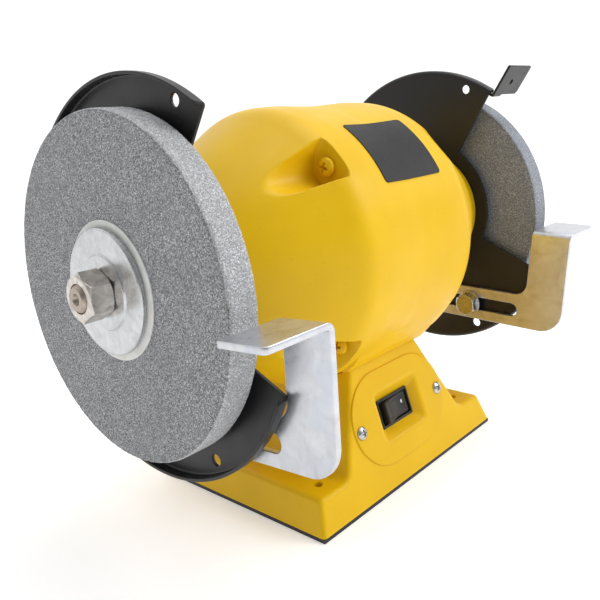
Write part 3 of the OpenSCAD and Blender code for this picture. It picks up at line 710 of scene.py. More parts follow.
def hex_solid(flats, length, bore, chamfer_low, chamfer_high):
    """A hexagon along Z from zero, chamfered at the ends asked for."""
    def field(p):
        x, y, z = p[:, 0], p[:, 1], p[:, 2]
        r = np.hypot(x, y)
        flat_ways = np.radians([0, 60, 120])
        sides = np.maximum.reduce([np.abs(x * math.cos(t) + y * math.sin(t)) for t in flat_ways])
        parts = [sides - flats / 2, -z, z - length]
        cone = (r - flats * CHAMFER_AT) * CONE_SIDE
        if chamfer_high:
            parts.append(cone + (z - length) * CONE_UP)
        if chamfer_low:
            parts.append(cone - z * CONE_UP)
        body = meet(0.18, *parts)
        return cut(0.15, body, r - bore) if bore else body

    reach = flats * 0.58
    return contour(field, (-reach, -reach, 0), (reach, reach, length), 0.3)


def threaded(radius, pitch, length, hand=1):
    """A threaded rod along Z from zero."""
    turns = around(24)
    rows = np.arange(0, length + 1e-6, pitch / 8)
    z = rows[:, None] + 0 * turns
    wave = np.abs(((z / pitch - hand * turns / TURN) % 1) * 2 - 1)
    r = radius - 0.55 * pitch * wave
    r = np.minimum(r, radius - 0.25 * pitch - (z - length + 0.5 * pitch))
    points = np.stack([r * np.cos(turns), r * np.sin(turns), z], -1).reshape(-1, 3)
    index = np.arange(z.size).reshape(z.shape)
    a, b = index[:-1], index[1:]
    faces = np.stack([a, np.roll(a, -1, 1), np.roll(b, -1, 1), b], -1).reshape(-1, 4).tolist()
    return points, faces + [index[0][::-1].tolist(), index[-1].tolist()]


def add_many(name, mesh, places, body, slot, side=1, sharp=45):
    points, faces = together([placed(mesh, m) for m in places])
    return make(name, on_side(points, side), faces, body, slot, sharp=sharp)


def spun(degrees):
    return Matrix.Rotation(math.radians(degrees), 4, "Z")


def face_screws():
    mesh = cross_screw(1.6, 11, 3.4, 1.8)
    places = [ON_FACE @ Matrix.Translation((s * SCREW_X, SCREW_Y, PLATE_HIGH + 0.03)) @ spun(s * 20 + 25)
              for s in (-1, 1)]
    add_many("switch_screws", mesh, places, "base", "zinc")


def around_shaft(turn_deg, radius, x, toward=1):
    """A frame at an angle round the shaft, with its Z along the shaft."""
    t = math.radians(turn_deg)
    out = Vector((0, -math.sin(t), math.cos(t)))
    return frame_matrix(Vector((x, 0, AXIS_Z)) + out * radius, out, (toward, 0, 0))


def body_screws():
    """The four long bolts: a head, a plain shank and the threaded end that the nut sits on."""
    places = [around_shaft(a, POCKET_CIRCLE, -POCKET_X, -1) @ spun(27) for a in BOLT_TURNS]
    end = -2 * POCKET_X - 6
    plain = placed(tube(2.4, 0.4, 77, 0.2, 24), Matrix.Translation((0, 0, end + 10)))
    thread = placed(threaded(2.39, 0.8, 10.1), Matrix.Translation((0, 0, end)))
    bolt = together([cross_screw(2.4, 3, 4.6, 3.2), plain, thread])
    add_many("through_bolts", bolt, places, "base", "yellow_paint")
    places = [around_shaft(a, POCKET_CIRCLE, POCKET_X + 0.02) for a in BOLT_TURNS]
    add_many("through_nuts", hex_solid(7.97, 4, 2.45, True, True), places, "base", "yellow_paint")


GUARD_SCREW_TURNS, GUARD_SCREW_CIRCLE = (60, 180, 300), 32


def guard_fasteners():
    mesh = cross_screw(1.85, 7.5, 3.6, 2.2)
    for side, word in SIDES:
        places = [around_shaft(a, GUARD_SCREW_CIRCLE, BELL_END + 1.55) for a in GUARD_SCREW_TURNS]
        add_many(word + "_guard_screws", mesh, places, "base", "zinc", side)


REST_BOLT_X = 98.8
WASHER_LOW, WASHER_HIGH, REST_NUT_LOW, REST_NUT_HIGH = 104.02, 105.6, 110.5, 112.7


def rest_fasteners():
    shank = placed(threaded(3.94, 1.25, 10), Matrix.Translation((0, 0, 4.2)))
    bolt = together([hex_solid(13, 5.2, 0, True, False), shank])
    washer = tube(8, 4.05, WASHER_HIGH - WASHER_LOW)
    nut = tube(6.8, 4.0, REST_NUT_HIGH - REST_NUT_LOW)
    for side, word in SIDES:
        for what, mesh, x, near, body in (
            ("_rest_bolt", bolt, REST_BOLT_X, (0, 0.5, 0.87), word + "_clamp"),
            ("_rest_washer", washer, WASHER_LOW, (0, 1, 0), word + "_clamp"),
            ("_rest_nut", nut, REST_NUT_LOW, (0, 1, 0), "base"),
        ):
            place = frame_matrix(Vector((x, CLAMP_Y, CLAMP_Z)), near, (1, 0, 0))
            add_many(word + what, mesh, [place], body, "zinc", side)


# ---- guards, bracket and rests ----

GUARD_X, GUARD_SHEET = BELL_END, 1.5
GUARD_RADIUS = corner("right_guard", 1, 1)
LIP_X = corner("right_guard", 1, 0)
OPEN_FROM, OPEN_TO, OPEN_RADIUS = 34.0, 114.5, 45.0
GUARD_BEND = 2.4
SHAFT_HOLE, BOLT_HOLE, RIM_HOLE, SCREW_WAY = 16, 4.25, 2.75, 2.3
RIM_HOLES = ((23, 7.2), (156, 7.2), (-70, 5.5))


def guard(side, word):
    mid_bend = GUARD_BEND - GUARD_SHEET / 2
    flat_end = GUARD_RADIUS - GUARD_BEND
    bend_end = flat_end + mid_bend * math.pi / 2
    blank = bend_end + LIP_X - GUARD_X - GUARD_BEND

    def shape(u, v, w):
        rho = np.hypot(u, v)
        phi = np.clip((rho - flat_end) / mid_bend, 0, math.pi / 2)
        r = np.where(rho < flat_end, rho, flat_end + (mid_bend + w) * np.sin(phi))
        x = GUARD_X + GUARD_BEND - (mid_bend + w) * np.cos(phi) + np.maximum(rho - bend_end, 0)
        return np.stack([x, u / rho * r, AXIS_Z + v / rho * r], -1)

    # The outline's own plane is (Y, Z) about the shaft, so its angles are 90 degrees more than from the top.
    outer = arc(blank, 90 + OPEN_TO, 450 + OPEN_FROM, 150)
    inner = arc(OPEN_RADIUS, 90 + OPEN_FROM, 90 + OPEN_TO, 40)
    outline = corner_rounded(outer, inner, 2.2)
    spot = lambda a, r: (-r * math.sin(math.radians(a)), r * math.cos(math.radians(a)))
    holes = [ring(SHAFT_HOLE, steps=48), ring(BOLT_HOLE, (CLAMP_Y, CLAMP_Z - AXIS_Z), 28)]
    holes += [ring(RIM_HOLE, spot(a, GUARD_RADIUS - inside), 24) for a, inside in RIM_HOLES]
    holes += [ring(SCREW_WAY, spot(a, GUARD_SCREW_CIRCLE), 20) for a in GUARD_SCREW_TURNS]
    circles = [*np.linspace(flat_end, bend_end, 6), blank - 3.2, flat_end - 1.5]
    guides = [arc(r, 90 + OPEN_TO - 2, 450 + OPEN_FROM + 2, 154) for r in circles]
    cut_sheet = sheet([outline, *holes], GUARD_SHEET, 0.3, guides, shape)
    return add_sheet(word + "_guard", cut_sheet, side, "base", "black_paint")


def corner_rounded(outer, inner, radius):
    """One closed outline from an outer and an inner arc, with the two outer corners rounded."""
    loop = [*outer, *inner]
    radii = [0.0] * len(loop)
    keep = [i for i in range(len(loop)) if not (0 < i < 4 or len(outer) - 4 <= i < len(outer) - 1)]
    for i in (0, len(outer) - 1):
        radii[i] = radius
    return rounded([loop[i] for i in keep], [radii[i] for i in keep], 5)


BRACKET_TURN = math.radians(OPEN_FROM + 1.6)
BRACKET_SHEET, BRACKET_TAB, BRACKET_POST = 1.6, 11, 22.4
BRACKET_IN, BRACKET_STEP, BRACKET_OUT = 109.6, 118.5, 137.8


def bracket():
    """The small angled plate under the right guard's lip."""
    bend_r = GUARD_RADIUS - 3.8
    inner_r = 0.9
    mid = inner_r + BRACKET_SHEET / 2
    tab, post = BRACKET_TAB - inner_r - BRACKET_SHEET, BRACKET_POST - inner_r - BRACKET_SHEET
    length = mid * math.pi / 2

    def shape(u, v, w):
        # v runs from the tab's free end, round the bend and up the plate. w is plus inside the bend.
        phi = np.clip((v - tab) / mid, 0, math.pi / 2)
        along = np.where(v < tab, BRACKET_TAB - v, inner_r + BRACKET_SHEET - (mid - w) * np.sin(phi)) - 0.8
        up = bend_r + inner_r + BRACKET_SHEET - (mid - w) * np.cos(phi) + np.maximum(v - tab - length, 0)
        c, s = math.cos(BRACKET_TURN), math.sin(BRACKET_TURN)
        return np.stack([u, along * c - up * s, AXIS_Z + (along * s + up * c)], -1)

    bent = tab + length
    top = bent + post
    out = [(110.7, 0), (BRACKET_STEP, 0), (BRACKET_STEP, bent), (BRACKET_OUT, bent), (BRACKET_OUT, top),
           (BRACKET_IN, top), (BRACKET_IN, bent - 1), (110.7, bent - 1)]
    outline = rounded(out, [1, 1, 0.6, 2.4, 0.6, 0.6, 0.3, 0.3], 4)
    hole = ring(1.7, (122, tab + length + 11.5 - inner_r - BRACKET_SHEET), 20)
    guides = [[(100, v), (150, v)] for v in np.linspace(tab, tab + length, 6)]
    cut_sheet = sheet([outline, hole], BRACKET_SHEET, 0.25, guides, shape)
    return add_sheet("shield_bracket", cut_sheet, 1, "base", "black_paint")


REST_SHEET, REST_X = 2.8, 105.9
ARM_HALF, SLOT_HALF, SLOT_LENGTH, ARM_LENGTH = 10.7, 4.25, 60.0, 68.0
TABLE_HEIGHT, TABLE_START, TABLE_WIDTH = 52.8, 9.9, 24.6
STRIP_SLOPE = 0.0875
REST_BEND, HEEL_RADIUS, CROOK_RADIUS = 4.2, 16, 9
REST_END_X = corner("right_rest", 1, 0)


def rest(side, word, tilt, reach):
    """A slotted arm with an upright strip, bent outward at the top into the small table."""
    mid = REST_BEND - REST_SHEET / 2
    straight = TABLE_HEIGHT - REST_BEND
    bend = mid * math.pi / 2
    top = straight + bend + REST_END_X - REST_X - REST_BEND
    back = TABLE_START - STRIP_SLOPE * TABLE_HEIGHT
    strip = lambda v: back + STRIP_SLOPE * min(v, TABLE_HEIGHT)
    c, s = math.cos(math.radians(tilt)), math.sin(math.radians(tilt))

    def shape(u, v, w):
        phi = np.clip((v - straight) / mid, 0, math.pi / 2)
        x = REST_X + REST_BEND - (mid + w) * np.cos(phi) + np.maximum(v - straight - bend, 0)
        up = np.where(v < straight, v, straight + (mid + w) * np.sin(phi))
        ahead = u + reach
        return np.stack([x, CLAMP_Y - ahead * c - up * s, CLAMP_Z - ahead * s + up * c], -1)

    wide = lambda v: strip(v) + TABLE_WIDTH
    start, end = TABLE_START, TABLE_START + TABLE_WIDTH
    low, ease = -ARM_HALF, straight + bend * 0.6
    left_end = arc(ARM_HALF, 90, 270, 24, (-ARM_LENGTH + ARM_HALF, 0))
    heel = rounded([(-40, low), (wide(low), low), (wide(straight), straight)], [0, HEEL_RADIUS, 0], 14)
    table = rounded([(end, straight), (end, top), (start, top), (start, straight)], [0, 2.2, 0.8, 0], 4)
    crook_v = ARM_HALF + CROOK_RADIUS
    crook = arc(CROOK_RADIUS, 0, -90, 8, (strip(crook_v) - CROOK_RADIUS - 0.2, crook_v))
    outline = [*left_end, *heel[1:-1], (wide(straight), straight), (end, ease), *table[1:-1],
               (start, ease), (strip(straight), straight), *crook]
    slot = [*arc(SLOT_HALF, -90, 90, 14, (-SLOT_HALF, 0)),
            *arc(SLOT_HALF, 90, 270, 14, (-SLOT_LENGTH + SLOT_HALF, 0))]
    guides = [[(-10, v), (60, v)] for v in np.linspace(straight, straight + bend, 9)]
    blank = sheet([outline, slot], REST_SHEET, 0.35, guides, shape)
    return add_sheet(word + "_rest", blank, side, word + "_rest", "rest_sheet")


# ---- wheel stack ----

WHEEL_RADIUS = corner("left_wheel", 1, 1)
WHEEL_IN, WHEEL_OUT = corner("right_wheel", 0, 0), corner("right_wheel", 1, 0)
WHEEL_WIDTH = WHEEL_OUT - WHEEL_IN
EDGE_ROUND, EDGE_ROUGH, CHIP_DEPTH, CHIP_FROM, SKIN_ROUGH = 0.8, 0.1, 0.35, 0.965, 0.04
PAPER, FRAY, HAIR = 0.7, 0.004, 0.02
FLANGE_RADIUS, PAPER_RADIUS, ARBOR = 27.4, 30.4, 6.35
SHOULDER_X = 111.7
NUT_OFFSET = 3.7


def profiled(profile, turns):
    """The x and the radius of each profile point, repeated for each angle."""
    return [np.array(values)[:, None] + 0 * turns for values in zip(*profile)]


def wheel(side, word):
    """A slightly uneven disc: small chips along its edges and a faint waviness on its faces."""
    turns = around(400)
    faces_r = np.concatenate([np.linspace(ARBOR + 0.05, 30, 6), np.linspace(33, WHEEL_RADIUS - 2.5, 18)])
    corner = ((0, 1.5), (0.05, EDGE_ROUND), (0.3, 0.35), (EDGE_ROUND, 0.05))
    rim = [(x, WHEEL_RADIUS - lower) for x, lower in corner]
    profile = [(0, r) for r in faces_r] + rim
    profile += [(x, WHEEL_RADIUS) for x in np.linspace(1.6, WHEEL_WIDTH - 1.6, 8)]
    profile += [(WHEEL_WIDTH - x, r) for x, r in rim[::-1]] + [(WHEEL_WIDTH, r) for r in faces_r[::-1]]
    at_edge = [WHEEL_RADIUS - 1.6 < r and (x < 1 or x > WHEEL_WIDTH - 1) for x, r in profile]
    xs, rs = profiled(profile, turns)
    xs = xs + WHEEL_IN
    rough = RANDOM.random(rs.shape)
    chipped = RANDOM.random(rs.shape) > CHIP_FROM
    bite = np.array(at_edge, float)[:, None] * (EDGE_ROUGH * rough + CHIP_DEPTH * chipped)
    rs = rs - bite - SKIN_ROUGH * rough
    xs = xs - np.sign(xs - (WHEEL_IN + WHEEL_OUT) / 2) * (bite + 0.03 * RANDOM.random(rs.shape))
    return lathe(word + "_wheel", side * xs, rs, turns, "rotor", "abrasive", sharp=70)


def blotters(side, word):
    """The paper discs on both faces of a wheel, with a slightly frayed edge."""
    turns = around(160)
    fray = 1 - FRAY * RANDOM.random(len(turns))
    parts = []
    for x in (WHEEL_IN - PAPER, WHEEL_OUT):
        low, high, bore = side * (x + HAIR), side * (x + PAPER - HAIR), ARBOR + 0.3
        profile = [(low, bore), (low, PAPER_RADIUS), (high, PAPER_RADIUS), (high, bore)]
        path = np.array(rounded(profile, 0.15, 2))
        rs = widened(path[:, 1], turns)
        parts.append(lathe_mesh(path[:, 0], rs * np.where(rs > 20, fray, 1.0), turns))
    make(word + "_blotters", *together(parts), "rotor", "blotter_paper", sharp=50)


def wheel_stack(side, word):
    wheel(side, word)
    blotters(side, word)
    bore, big = ARBOR + 0.03, FLANGE_RADIUS
    x = WHEEL_IN - PAPER
    low = SHOULDER_X + HAIR
    inner = ((low, bore), (low, big), (x, big), (x, 18), (x - 0.6, 17), (x - 0.6, bore))
    turned(word + "_inner_flange", [(side * a, r) for a, r in inner], 0.3, "rotor", "zinc")
    x = WHEEL_OUT + PAPER
    outer = ((0.7, bore), (0.7, 18), (0, 19), (0, 25.8), (1.2, big), (2.4, big), (2.9, big - 0.7),
             (2.9, 16.6), (NUT_OFFSET, 15.9), (NUT_OFFSET, bore))
    turned(word + "_outer_flange", [(side * (x + a), r) for a, r in outer], 0.35, "rotor", "zinc")
    nut = hex_solid(19, 10.5, ARBOR + 0.04, True, True)
    add_many(word + "_nut", nut, [around_shaft(30, 0, x + NUT_OFFSET)], "rotor", "nut_steel", side)


THREAD_PITCH, THREAD_DEPTH, THREAD_FROM = 1.6, 0.8, 129


def shaft():
    """The shaft, with a centre hole and a threaded length at each end. The left thread is left-handed."""
    end = corner("shaft", 1, 0)
    right = [(end - 4, HAIR), (end - 1.5, 1.8), (end, 2.6), (end, ARBOR - 1.5)]
    right += [(x, ARBOR) for x in np.arange(end - 1.4, 128, -0.2)]
    right += [(128, ARBOR), (SHOULDER_X, ARBOR), (SHOULDER_X, 7.5), (92, 7.5), (92, 9.5), (40, 9.5), (40, 11)]
    turns = around(64)
    xs, rs = profiled(right + [(-x, r) for x, r in right[::-1]], turns)
    wave = np.abs(((np.abs(xs) / THREAD_PITCH + turns / TURN) % 1) * 2 - 1)
    ends = (np.abs(xs) > THREAD_FROM) & (rs > ARBOR - 0.2)
    rs = np.where(ends, rs - 0.03 - THREAD_DEPTH * wave, rs)
    rs = np.where(ends, np.minimum(rs, ARBOR - 0.6 + (end - np.abs(xs)) * 0.8), rs)
    lathe("shaft", xs, rs, turns, "rotor", "steel", sharp=50)


BADGE_X, BADGE_TURNS, BADGE_SHEET, BADGE_CURVE = (-19.0, 27.0), (32.3, 62.7), 0.4, 72.3


def badge():
    """A blank plate with rounded corners that follows the barrel."""
    (x0, x1), (v0, v1) = BADGE_X, [math.radians(a) * BADGE_CURVE for a in BADGE_TURNS]

    def shape(u, v, w):
        r = body_radius(u) + 0.06 + BADGE_SHEET / 2 + w
        return np.stack([u, -r * np.sin(v / BADGE_CURVE), AXIS_Z + r * np.cos(v / BADGE_CURVE)], -1)

    outline = rounded([(x0, v0), (x1, v0), (x1, v1), (x0, v1)], 2.0, 6)
    guides = [[(x0 - 5, v), (x1 + 5, v)] for v in np.linspace(v0, v1, 14)[1:-1]]
    guides += [[(u, v0 - 5), (u, v1 + 5)] for u in np.linspace(x0, x1, 12)[1:-1]]
    return add_sheet("badge", sheet([outline], BADGE_SHEET, 0.12, guides, shape), 1, "base", "badge_foil")


def build():
    base_casting()
    motor_shell()
    for side, word in SIDES:
        bell(side, word + "_bell")
        guard(side, word)
        wheel_stack(side, word)
    rest(-1, "left", -3.5, 42.5)
    rest(1, "right", 2.5, 34.0)
    bracket()
    badge()
    shaft()
    switch_plate()
    switch_body()
    rocker()
    face_screws()
    body_screws()
    guard_fasteners()
    rest_fasteners()


# ---- materials ----


def rgba(value):
    return (value, value, value, 1) if np.isscalar(value) else (*value, 1)


class Look:
    """A small node graph round one Principled shader, with patterns in the piece's own space, in mm."""

    def __init__(self, name, **plain):
        self.material = bpy.data.materials.new(name)
        self.material.use_nodes = True
        self.tree = self.material.node_tree
        self.shader = self.tree.nodes["Principled BSDF"]
        for key, value in plain.items():
            self.shader.inputs[key.replace("_", " ")].default_value = value
        place = self.tree.nodes.new("ShaderNodeTexCoord")
        scale = self.tree.nodes.new("ShaderNodeMapping")
        scale.inputs["Scale"].default_value = (1 / MM,) * 3
        self.tree.links.new(place.outputs["Object"], scale.inputs["Vector"])
        self.space = scale.outputs["Vector"]

    def put(self, node, key, value):
        socket = node.inputs[key]
        if isinstance(value, bpy.types.NodeSocket):
            self.tree.links.new(value, socket)
        else:
            socket.default_value = rgba(value) if socket.type == "RGBA" else value

    def node(self, kind, inputs, **settings):
        made = self.tree.nodes.new(kind)
        for key, value in settings.items():
            setattr(made, key, value)
        for key, value in inputs.items():
            self.put(made, key, value)
        return made

    def stretched(self, scale, turn=(0, 0, 0)):
        inputs = {"Vector": self.space, "Scale": scale, "Rotation": turn}
        return self.node("ShaderNodeMapping", inputs).outputs["Vector"]

    def noise(self, size, detail=3.0, rough=0.55, space=None, distortion=0.0):
        """Smooth noise whose features are about size mm across, from 0 to 1."""
        inputs = {"Scale": 1 / size, "Detail": detail, "Roughness": rough, "Distortion": distortion}
        return self.node("ShaderNodeTexNoise", {"Vector": space or self.space, **inputs}).outputs["Fac"]

    def grains(self, size, what="Color"):
        inputs = {"Vector": self.space, "Scale": 1 / size, "Randomness": 1.0}
        return self.node("ShaderNodeTexVoronoi", inputs).outputs[what]

    def ramp(self, factor, *stops):
        """Stops are (position, value) with a value of one number or of three."""
        made = self.node("ShaderNodeValToRGB", {"Fac": factor})
        marks = made.color_ramp.elements
        while len(marks) < len(stops):
            marks.new(0.5)
        for mark, (at, value) in zip(marks, stops):
            mark.position, mark.color = at, rgba(value)
        return made.outputs["Color"]

    def blend(self, factor, a, b, kind="MIX"):
        inputs = {"Factor": factor, 6: a, 7: b}
        return self.node("ShaderNodeMix", inputs, data_type="RGBA", blend_type=kind).outputs[2]

    def calc(self, kind, a, b=0.0, c=0.0):
        return self.node("ShaderNodeMath", {0: a, 1: b, 2: c}, operation=kind).outputs[0]

    def radius(self):
        """Distance from the shaft line, in mm."""
        parts = self.node("ShaderNodeSeparateXYZ", {"Vector": self.space})
        across, up = parts.outputs[1], self.calc("SUBTRACT", parts.outputs[2], AXIS_Z)
        squares = [self.calc("MULTIPLY", value, value) for value in (across, up)]
        return self.calc("SQRT", self.calc("ADD", *squares))

    def finish(self, colour=None, roughness=None, heights=()):
        """heights are (height, depth in mm) pairs that bump the surface."""
        if colour is not None:
            self.put(self.shader, "Base Color", colour)
        if roughness is not None:
            self.put(self.shader, "Roughness", roughness)
        normal = None
        for height, depth in heights:
            bump = self.node("ShaderNodeBump", {"Height": height, "Distance": depth * MM, "Strength": 1.0})
            if normal is not None:
                self.tree.links.new(normal, bump.inputs["Normal"])
            normal = bump.outputs["Normal"]
        if normal is not None:
            self.tree.links.new(normal, self.shader.inputs["Normal"])
        return self.material


def yellow_paint():
    look = Look("yellow_paint", Specular_IOR_Level=0.22)
    cloud = look.noise(38, 2)
    fine = look.noise(1.6, 2)
    colour = look.blend(look.ramp(cloud, (0.3, 0.0), (0.7, 1.0)), (0.77, 0.47, 0.004), (0.83, 0.52, 0.006))
    specks = look.ramp(look.noise(0.9, 1, 0.4), (0.24, 1.0), (0.27, 0.0))
    colour = look.blend(look.calc("MULTIPLY", specks, 0.35), colour, (0.45, 0.25, 0.02))
    roughness = look.ramp(look.noise(14, 3), (0.3, 0.33), (0.7, 0.44))
    return look.finish(colour, roughness, ((fine, 0.012), (look.noise(9, 2), 0.05)))


def yellow_plastic():
    look = Look("yellow_plastic", Specular_IOR_Level=0.22)
    colour = look.blend(look.noise(20, 2), (0.76, 0.46, 0.004), (0.82, 0.51, 0.006))
    rough = look.ramp(look.noise(3, 3), (0.3, 0.33), (0.7, 0.42))
    return look.finish(colour, rough, ((look.noise(0.5, 2), 0.012),))


def black_paint():
    look = Look("black_paint", Specular_IOR_Level=0.33)
    dust = look.ramp(look.noise(1.1, 3, 0.7), (0.62, 0.0), (0.75, 1.0))
    colour = look.blend(look.noise(25, 3), (0.010, 0.010, 0.011), (0.019, 0.0185, 0.019))
    colour = look.blend(look.calc("MULTIPLY", dust, 0.1), colour, (0.2, 0.2, 0.19))
    rough = look.ramp(look.noise(12, 4), (0.3, 0.3), (0.7, 0.42))
    return look.finish(colour, rough, ((look.noise(0.7, 2), 0.01), (look.noise(6, 2), 0.02)))


def bright_metal(name, light, dark, rough, cloud_size, scratch_turn=(0, 0, 0), tint=None, metallic=1.0):
    """Worked metal: cloudy, faintly scratched one way, with a few dull spots."""
    look = Look(name, Metallic=metallic)
    cloud = look.noise(cloud_size, 4, 0.6, distortion=0.6)
    scratch = look.noise(0.25, 2, 0.6, look.stretched((0.06, 1, 1), scratch_turn))
    colour = look.blend(look.ramp(cloud, (0.3, 0.0), (0.7, 1.0)), dark, light)
    if tint:
        patches = look.ramp(look.noise(cloud_size * 1.7, 2), (0.5, 0.0), (0.75, 0.6))
        colour = look.blend(patches, colour, tint)
    spots = look.ramp(look.noise(1.3, 2, 0.5), (0.22, 1.0), (0.27, 0.0))
    colour = look.blend(look.calc("MULTIPLY", spots, 0.35), colour, tuple(c * 0.45 for c in dark))
    wear = look.calc("MULTIPLY", cloud, rough[1] - rough[0])
    wear = look.calc("ADD", wear, look.calc("MULTIPLY", scratch, 0.12))
    wear = look.calc("ADD", wear, rough[0] - 0.06)
    return look.finish(colour, wear, ((scratch, 0.004), (look.noise(2.2, 3), 0.012)))


def turned_metal(name, light, dark, rough):
    """Metal with fine rings from the lathe."""
    look = Look(name, Metallic=1.0)
    inputs = {"W": look.calc("MULTIPLY", look.radius(), 2.6), "Scale": 1.0, "Detail": 3.0}
    rings = look.node("ShaderNodeTexNoise", inputs, noise_dimensions="1D").outputs["Fac"]
    cloud = look.noise(7, 3)
    colour = look.blend(look.calc("MULTIPLY", look.calc("ADD", rings, cloud), 0.5), dark, light)
    wear = look.calc("MULTIPLY_ADD", rings, 0.16, rough)
    return look.finish(colour, wear, ((rings, 0.006), (look.noise(1.5, 3), 0.008)))


def abrasive(name, dark, mid, light, sparkle):
    """Bonded grit: grey grains of different tone with pits between them, and a painted highlight on the tread."""
    look = Look(name, Specular_IOR_Level=0.35)
    tone = look.node("ShaderNodeSeparateColor", {"Color": look.grains(0.42)}).outputs[0]
    small = look.node("ShaderNodeSeparateColor", {"Color": look.grains(0.27)}).outputs[1]
    mixed = look.calc("MULTIPLY_ADD", small, 0.4, look.calc("MULTIPLY", tone, 0.6))
    colour = look.ramp(mixed, (0.15, dark), (0.5, mid), (0.78, light), (0.9, sparkle))
    patches = look.ramp(look.noise(16, 3), (0.3, 0.0), (0.7, 0.35))
    colour = look.blend(patches, colour, tuple(c * 0.75 for c in mid))
    # Painted highlight: the tread, the outermost 0.6 mm of the wheel, is made paler all round to stand in for the
    # light from above.
    painted_tread_highlight = look.calc("GREATER_THAN", look.radius(), WHEEL_RADIUS - 0.6)
    colour = look.blend(look.calc("MULTIPLY", painted_tread_highlight, 0.3), colour, light, "ADD")
    pits = look.grains(0.46, "Distance")
    heights = ((pits, 0.12), (look.noise(0.4, 3), 0.1), (mixed, 0.08))
    return look.finish(colour, look.ramp(tone, (0.2, 0.95), (0.95, 0.6)), heights)


def matt(name, first, second, size, rough, bump, **plain):
    """A plain moulded or fibrous surface with a mottled tone and a fine grain."""
    look = Look(name, **plain)
    colour = look.blend(look.ramp(look.noise(size, 4), (0.3, 0.0), (0.7, 1.0)), first, second)
    grain = look.noise(size * 0.12, 3)
    return look.finish(colour, look.ramp(grain, (0.3, rough - 0.06), (0.7, rough + 0.06)), ((grain, bump),))


# Light tone, dark tone, roughness from and to, size of the clouds, turn of the scratches, tint, metalness.
METALS = {
    "zinc": ((0.60, 0.61, 0.62), (0.43, 0.44, 0.45), (0.22, 0.34), 5),
    "rest_sheet": ((0.66, 0.675, 0.70), (0.50, 0.51, 0.54), (0.24, 0.36), 9, (0, 0, 0.3),
                   (0.54, 0.58, 0.66), 0.82),
    "nut_steel": ((0.72, 0.69, 0.65), (0.42, 0.38, 0.34), (0.28, 0.4), 4),
    "lamination": ((0.4, 0.4, 0.41), (0.22, 0.22, 0.23), (0.4, 0.5), 3, (0, 1.57, 0)),
    "bare_aluminium": ((0.8, 0.8, 0.81), (0.6, 0.6, 0.61), (0.35, 0.5), 4),
}
# Light tone, dark tone and roughness.
TURNED_METALS = {
    "steel": ((0.5, 0.44, 0.38), (0.28, 0.22, 0.18), 0.32),
    "bearing_steel": ((0.8, 0.8, 0.82), (0.66, 0.67, 0.7), 0.12),
    "cage_brass": ((0.8, 0.6, 0.25), (0.6, 0.42, 0.15), 0.25),
}
# First tone, second tone, size of the mottling, roughness and depth of the grain.
PLAIN = {
    "blotter_paper": ((0.78, 0.78, 0.76), (0.66, 0.66, 0.64), 4, 0.85, 0.05),
    "black_rubber": ((0.02, 0.02, 0.02), (0.03, 0.03, 0.03), 3, 0.65, 0.03),
    "white_plastic": ((0.85, 0.85, 0.83), (0.78, 0.78, 0.76), 4, 0.45, 0.01),
    "lead_sleeve": ((0.05, 0.09, 0.32), (0.04, 0.06, 0.24), 3, 0.45, 0.01),
}
WINDING = ((0.5, 0.19, 0.05), (0.32, 0.1, 0.03), 1.2, 0.35, 0.1)
BLACK_PLASTIC = ((0.012, 0.012, 0.013), (0.02, 0.02, 0.02), 5, 0.34, 0.01)
BADGE_FOIL = ((0.015, 0.015, 0.016), (0.022, 0.0218, 0.0215), 9, 0.42, 0.008)
GRIT = ((0.09, 0.09, 0.095), (0.27, 0.275, 0.285), (0.5, 0.51, 0.53), (0.8, 0.81, 0.83))
# The right wheel's grit, darker than the left one's. Its blue tint is painted, to offset the yellow light the body
# throws onto this wheel.
DARK_GRIT = ((0.10, 0.107, 0.122), (0.19, 0.204, 0.23), (0.31, 0.33, 0.37), (0.56, 0.6, 0.66))


def looks():
    made = {name: bright_metal(name, *tones) for name, tones in METALS.items()}
    made |= {name: turned_metal(name, *tones) for name, tones in TURNED_METALS.items()}
    made |= {name: matt(name, *tones) for name, tones in PLAIN.items()}
    return made | {
        "yellow_paint": yellow_paint(),
        "yellow_plastic": yellow_plastic(),
        "black_paint": black_paint(),
        "winding": matt("winding", *WINDING, Metallic=0.8),
        "black_plastic": matt("black_plastic", *BLACK_PLASTIC, Specular_IOR_Level=0.35),
        "badge_foil": matt("badge_foil", *BADGE_FOIL, Specular_IOR_Level=0.22),
        "abrasive": abrasive("abrasive", *GRIT),
    }


def dress():
    """Gives every piece and every CAD node that still shows the look of its slot."""
    library = looks()
    # The right wheel's grit carries a painted blue tint that offsets the yellow light thrown on it by the body.
    darker = abrasive("abrasive_dark", *DARK_GRIT)
    for name, thing in frame["nodes"].items():
        thing.data.materials.clear()
        thing.data.materials.append(library[CAD_SLOTS[name]])
    for name, (thing, slot) in PIECES.items():
        thing.data.materials.append(darker if name == "right_wheel" else library[slot])


# ---- stage ----

FLOOR_GLOW, FLOOR_HALF = 0.3, 9.0
KEY_POWER, TOP_POWER = 6.8, 6.0
KEY_PLACE, TOP_PLACE, LIT_SPOT = (0.75, -1.0, 0.95), (0.25, -0.1, 1.5), (0, 0, 0.1)
SKY_BACK, SKY_FRONT = 1.12, 0.3
BACK_WAY = (1, 0.85, 0.25)
CAMERA_PLACE = (-281.6, -268.4, 194.6)
CAMERA_YAW, CAMERA_PITCH, CAMERA_ROLL = 50.55, -10.12, -3.71
FOCAL = 701.4
SENSOR = 36.0
PICTURE = 600.0
CENTRE = (370.0, 235.0)


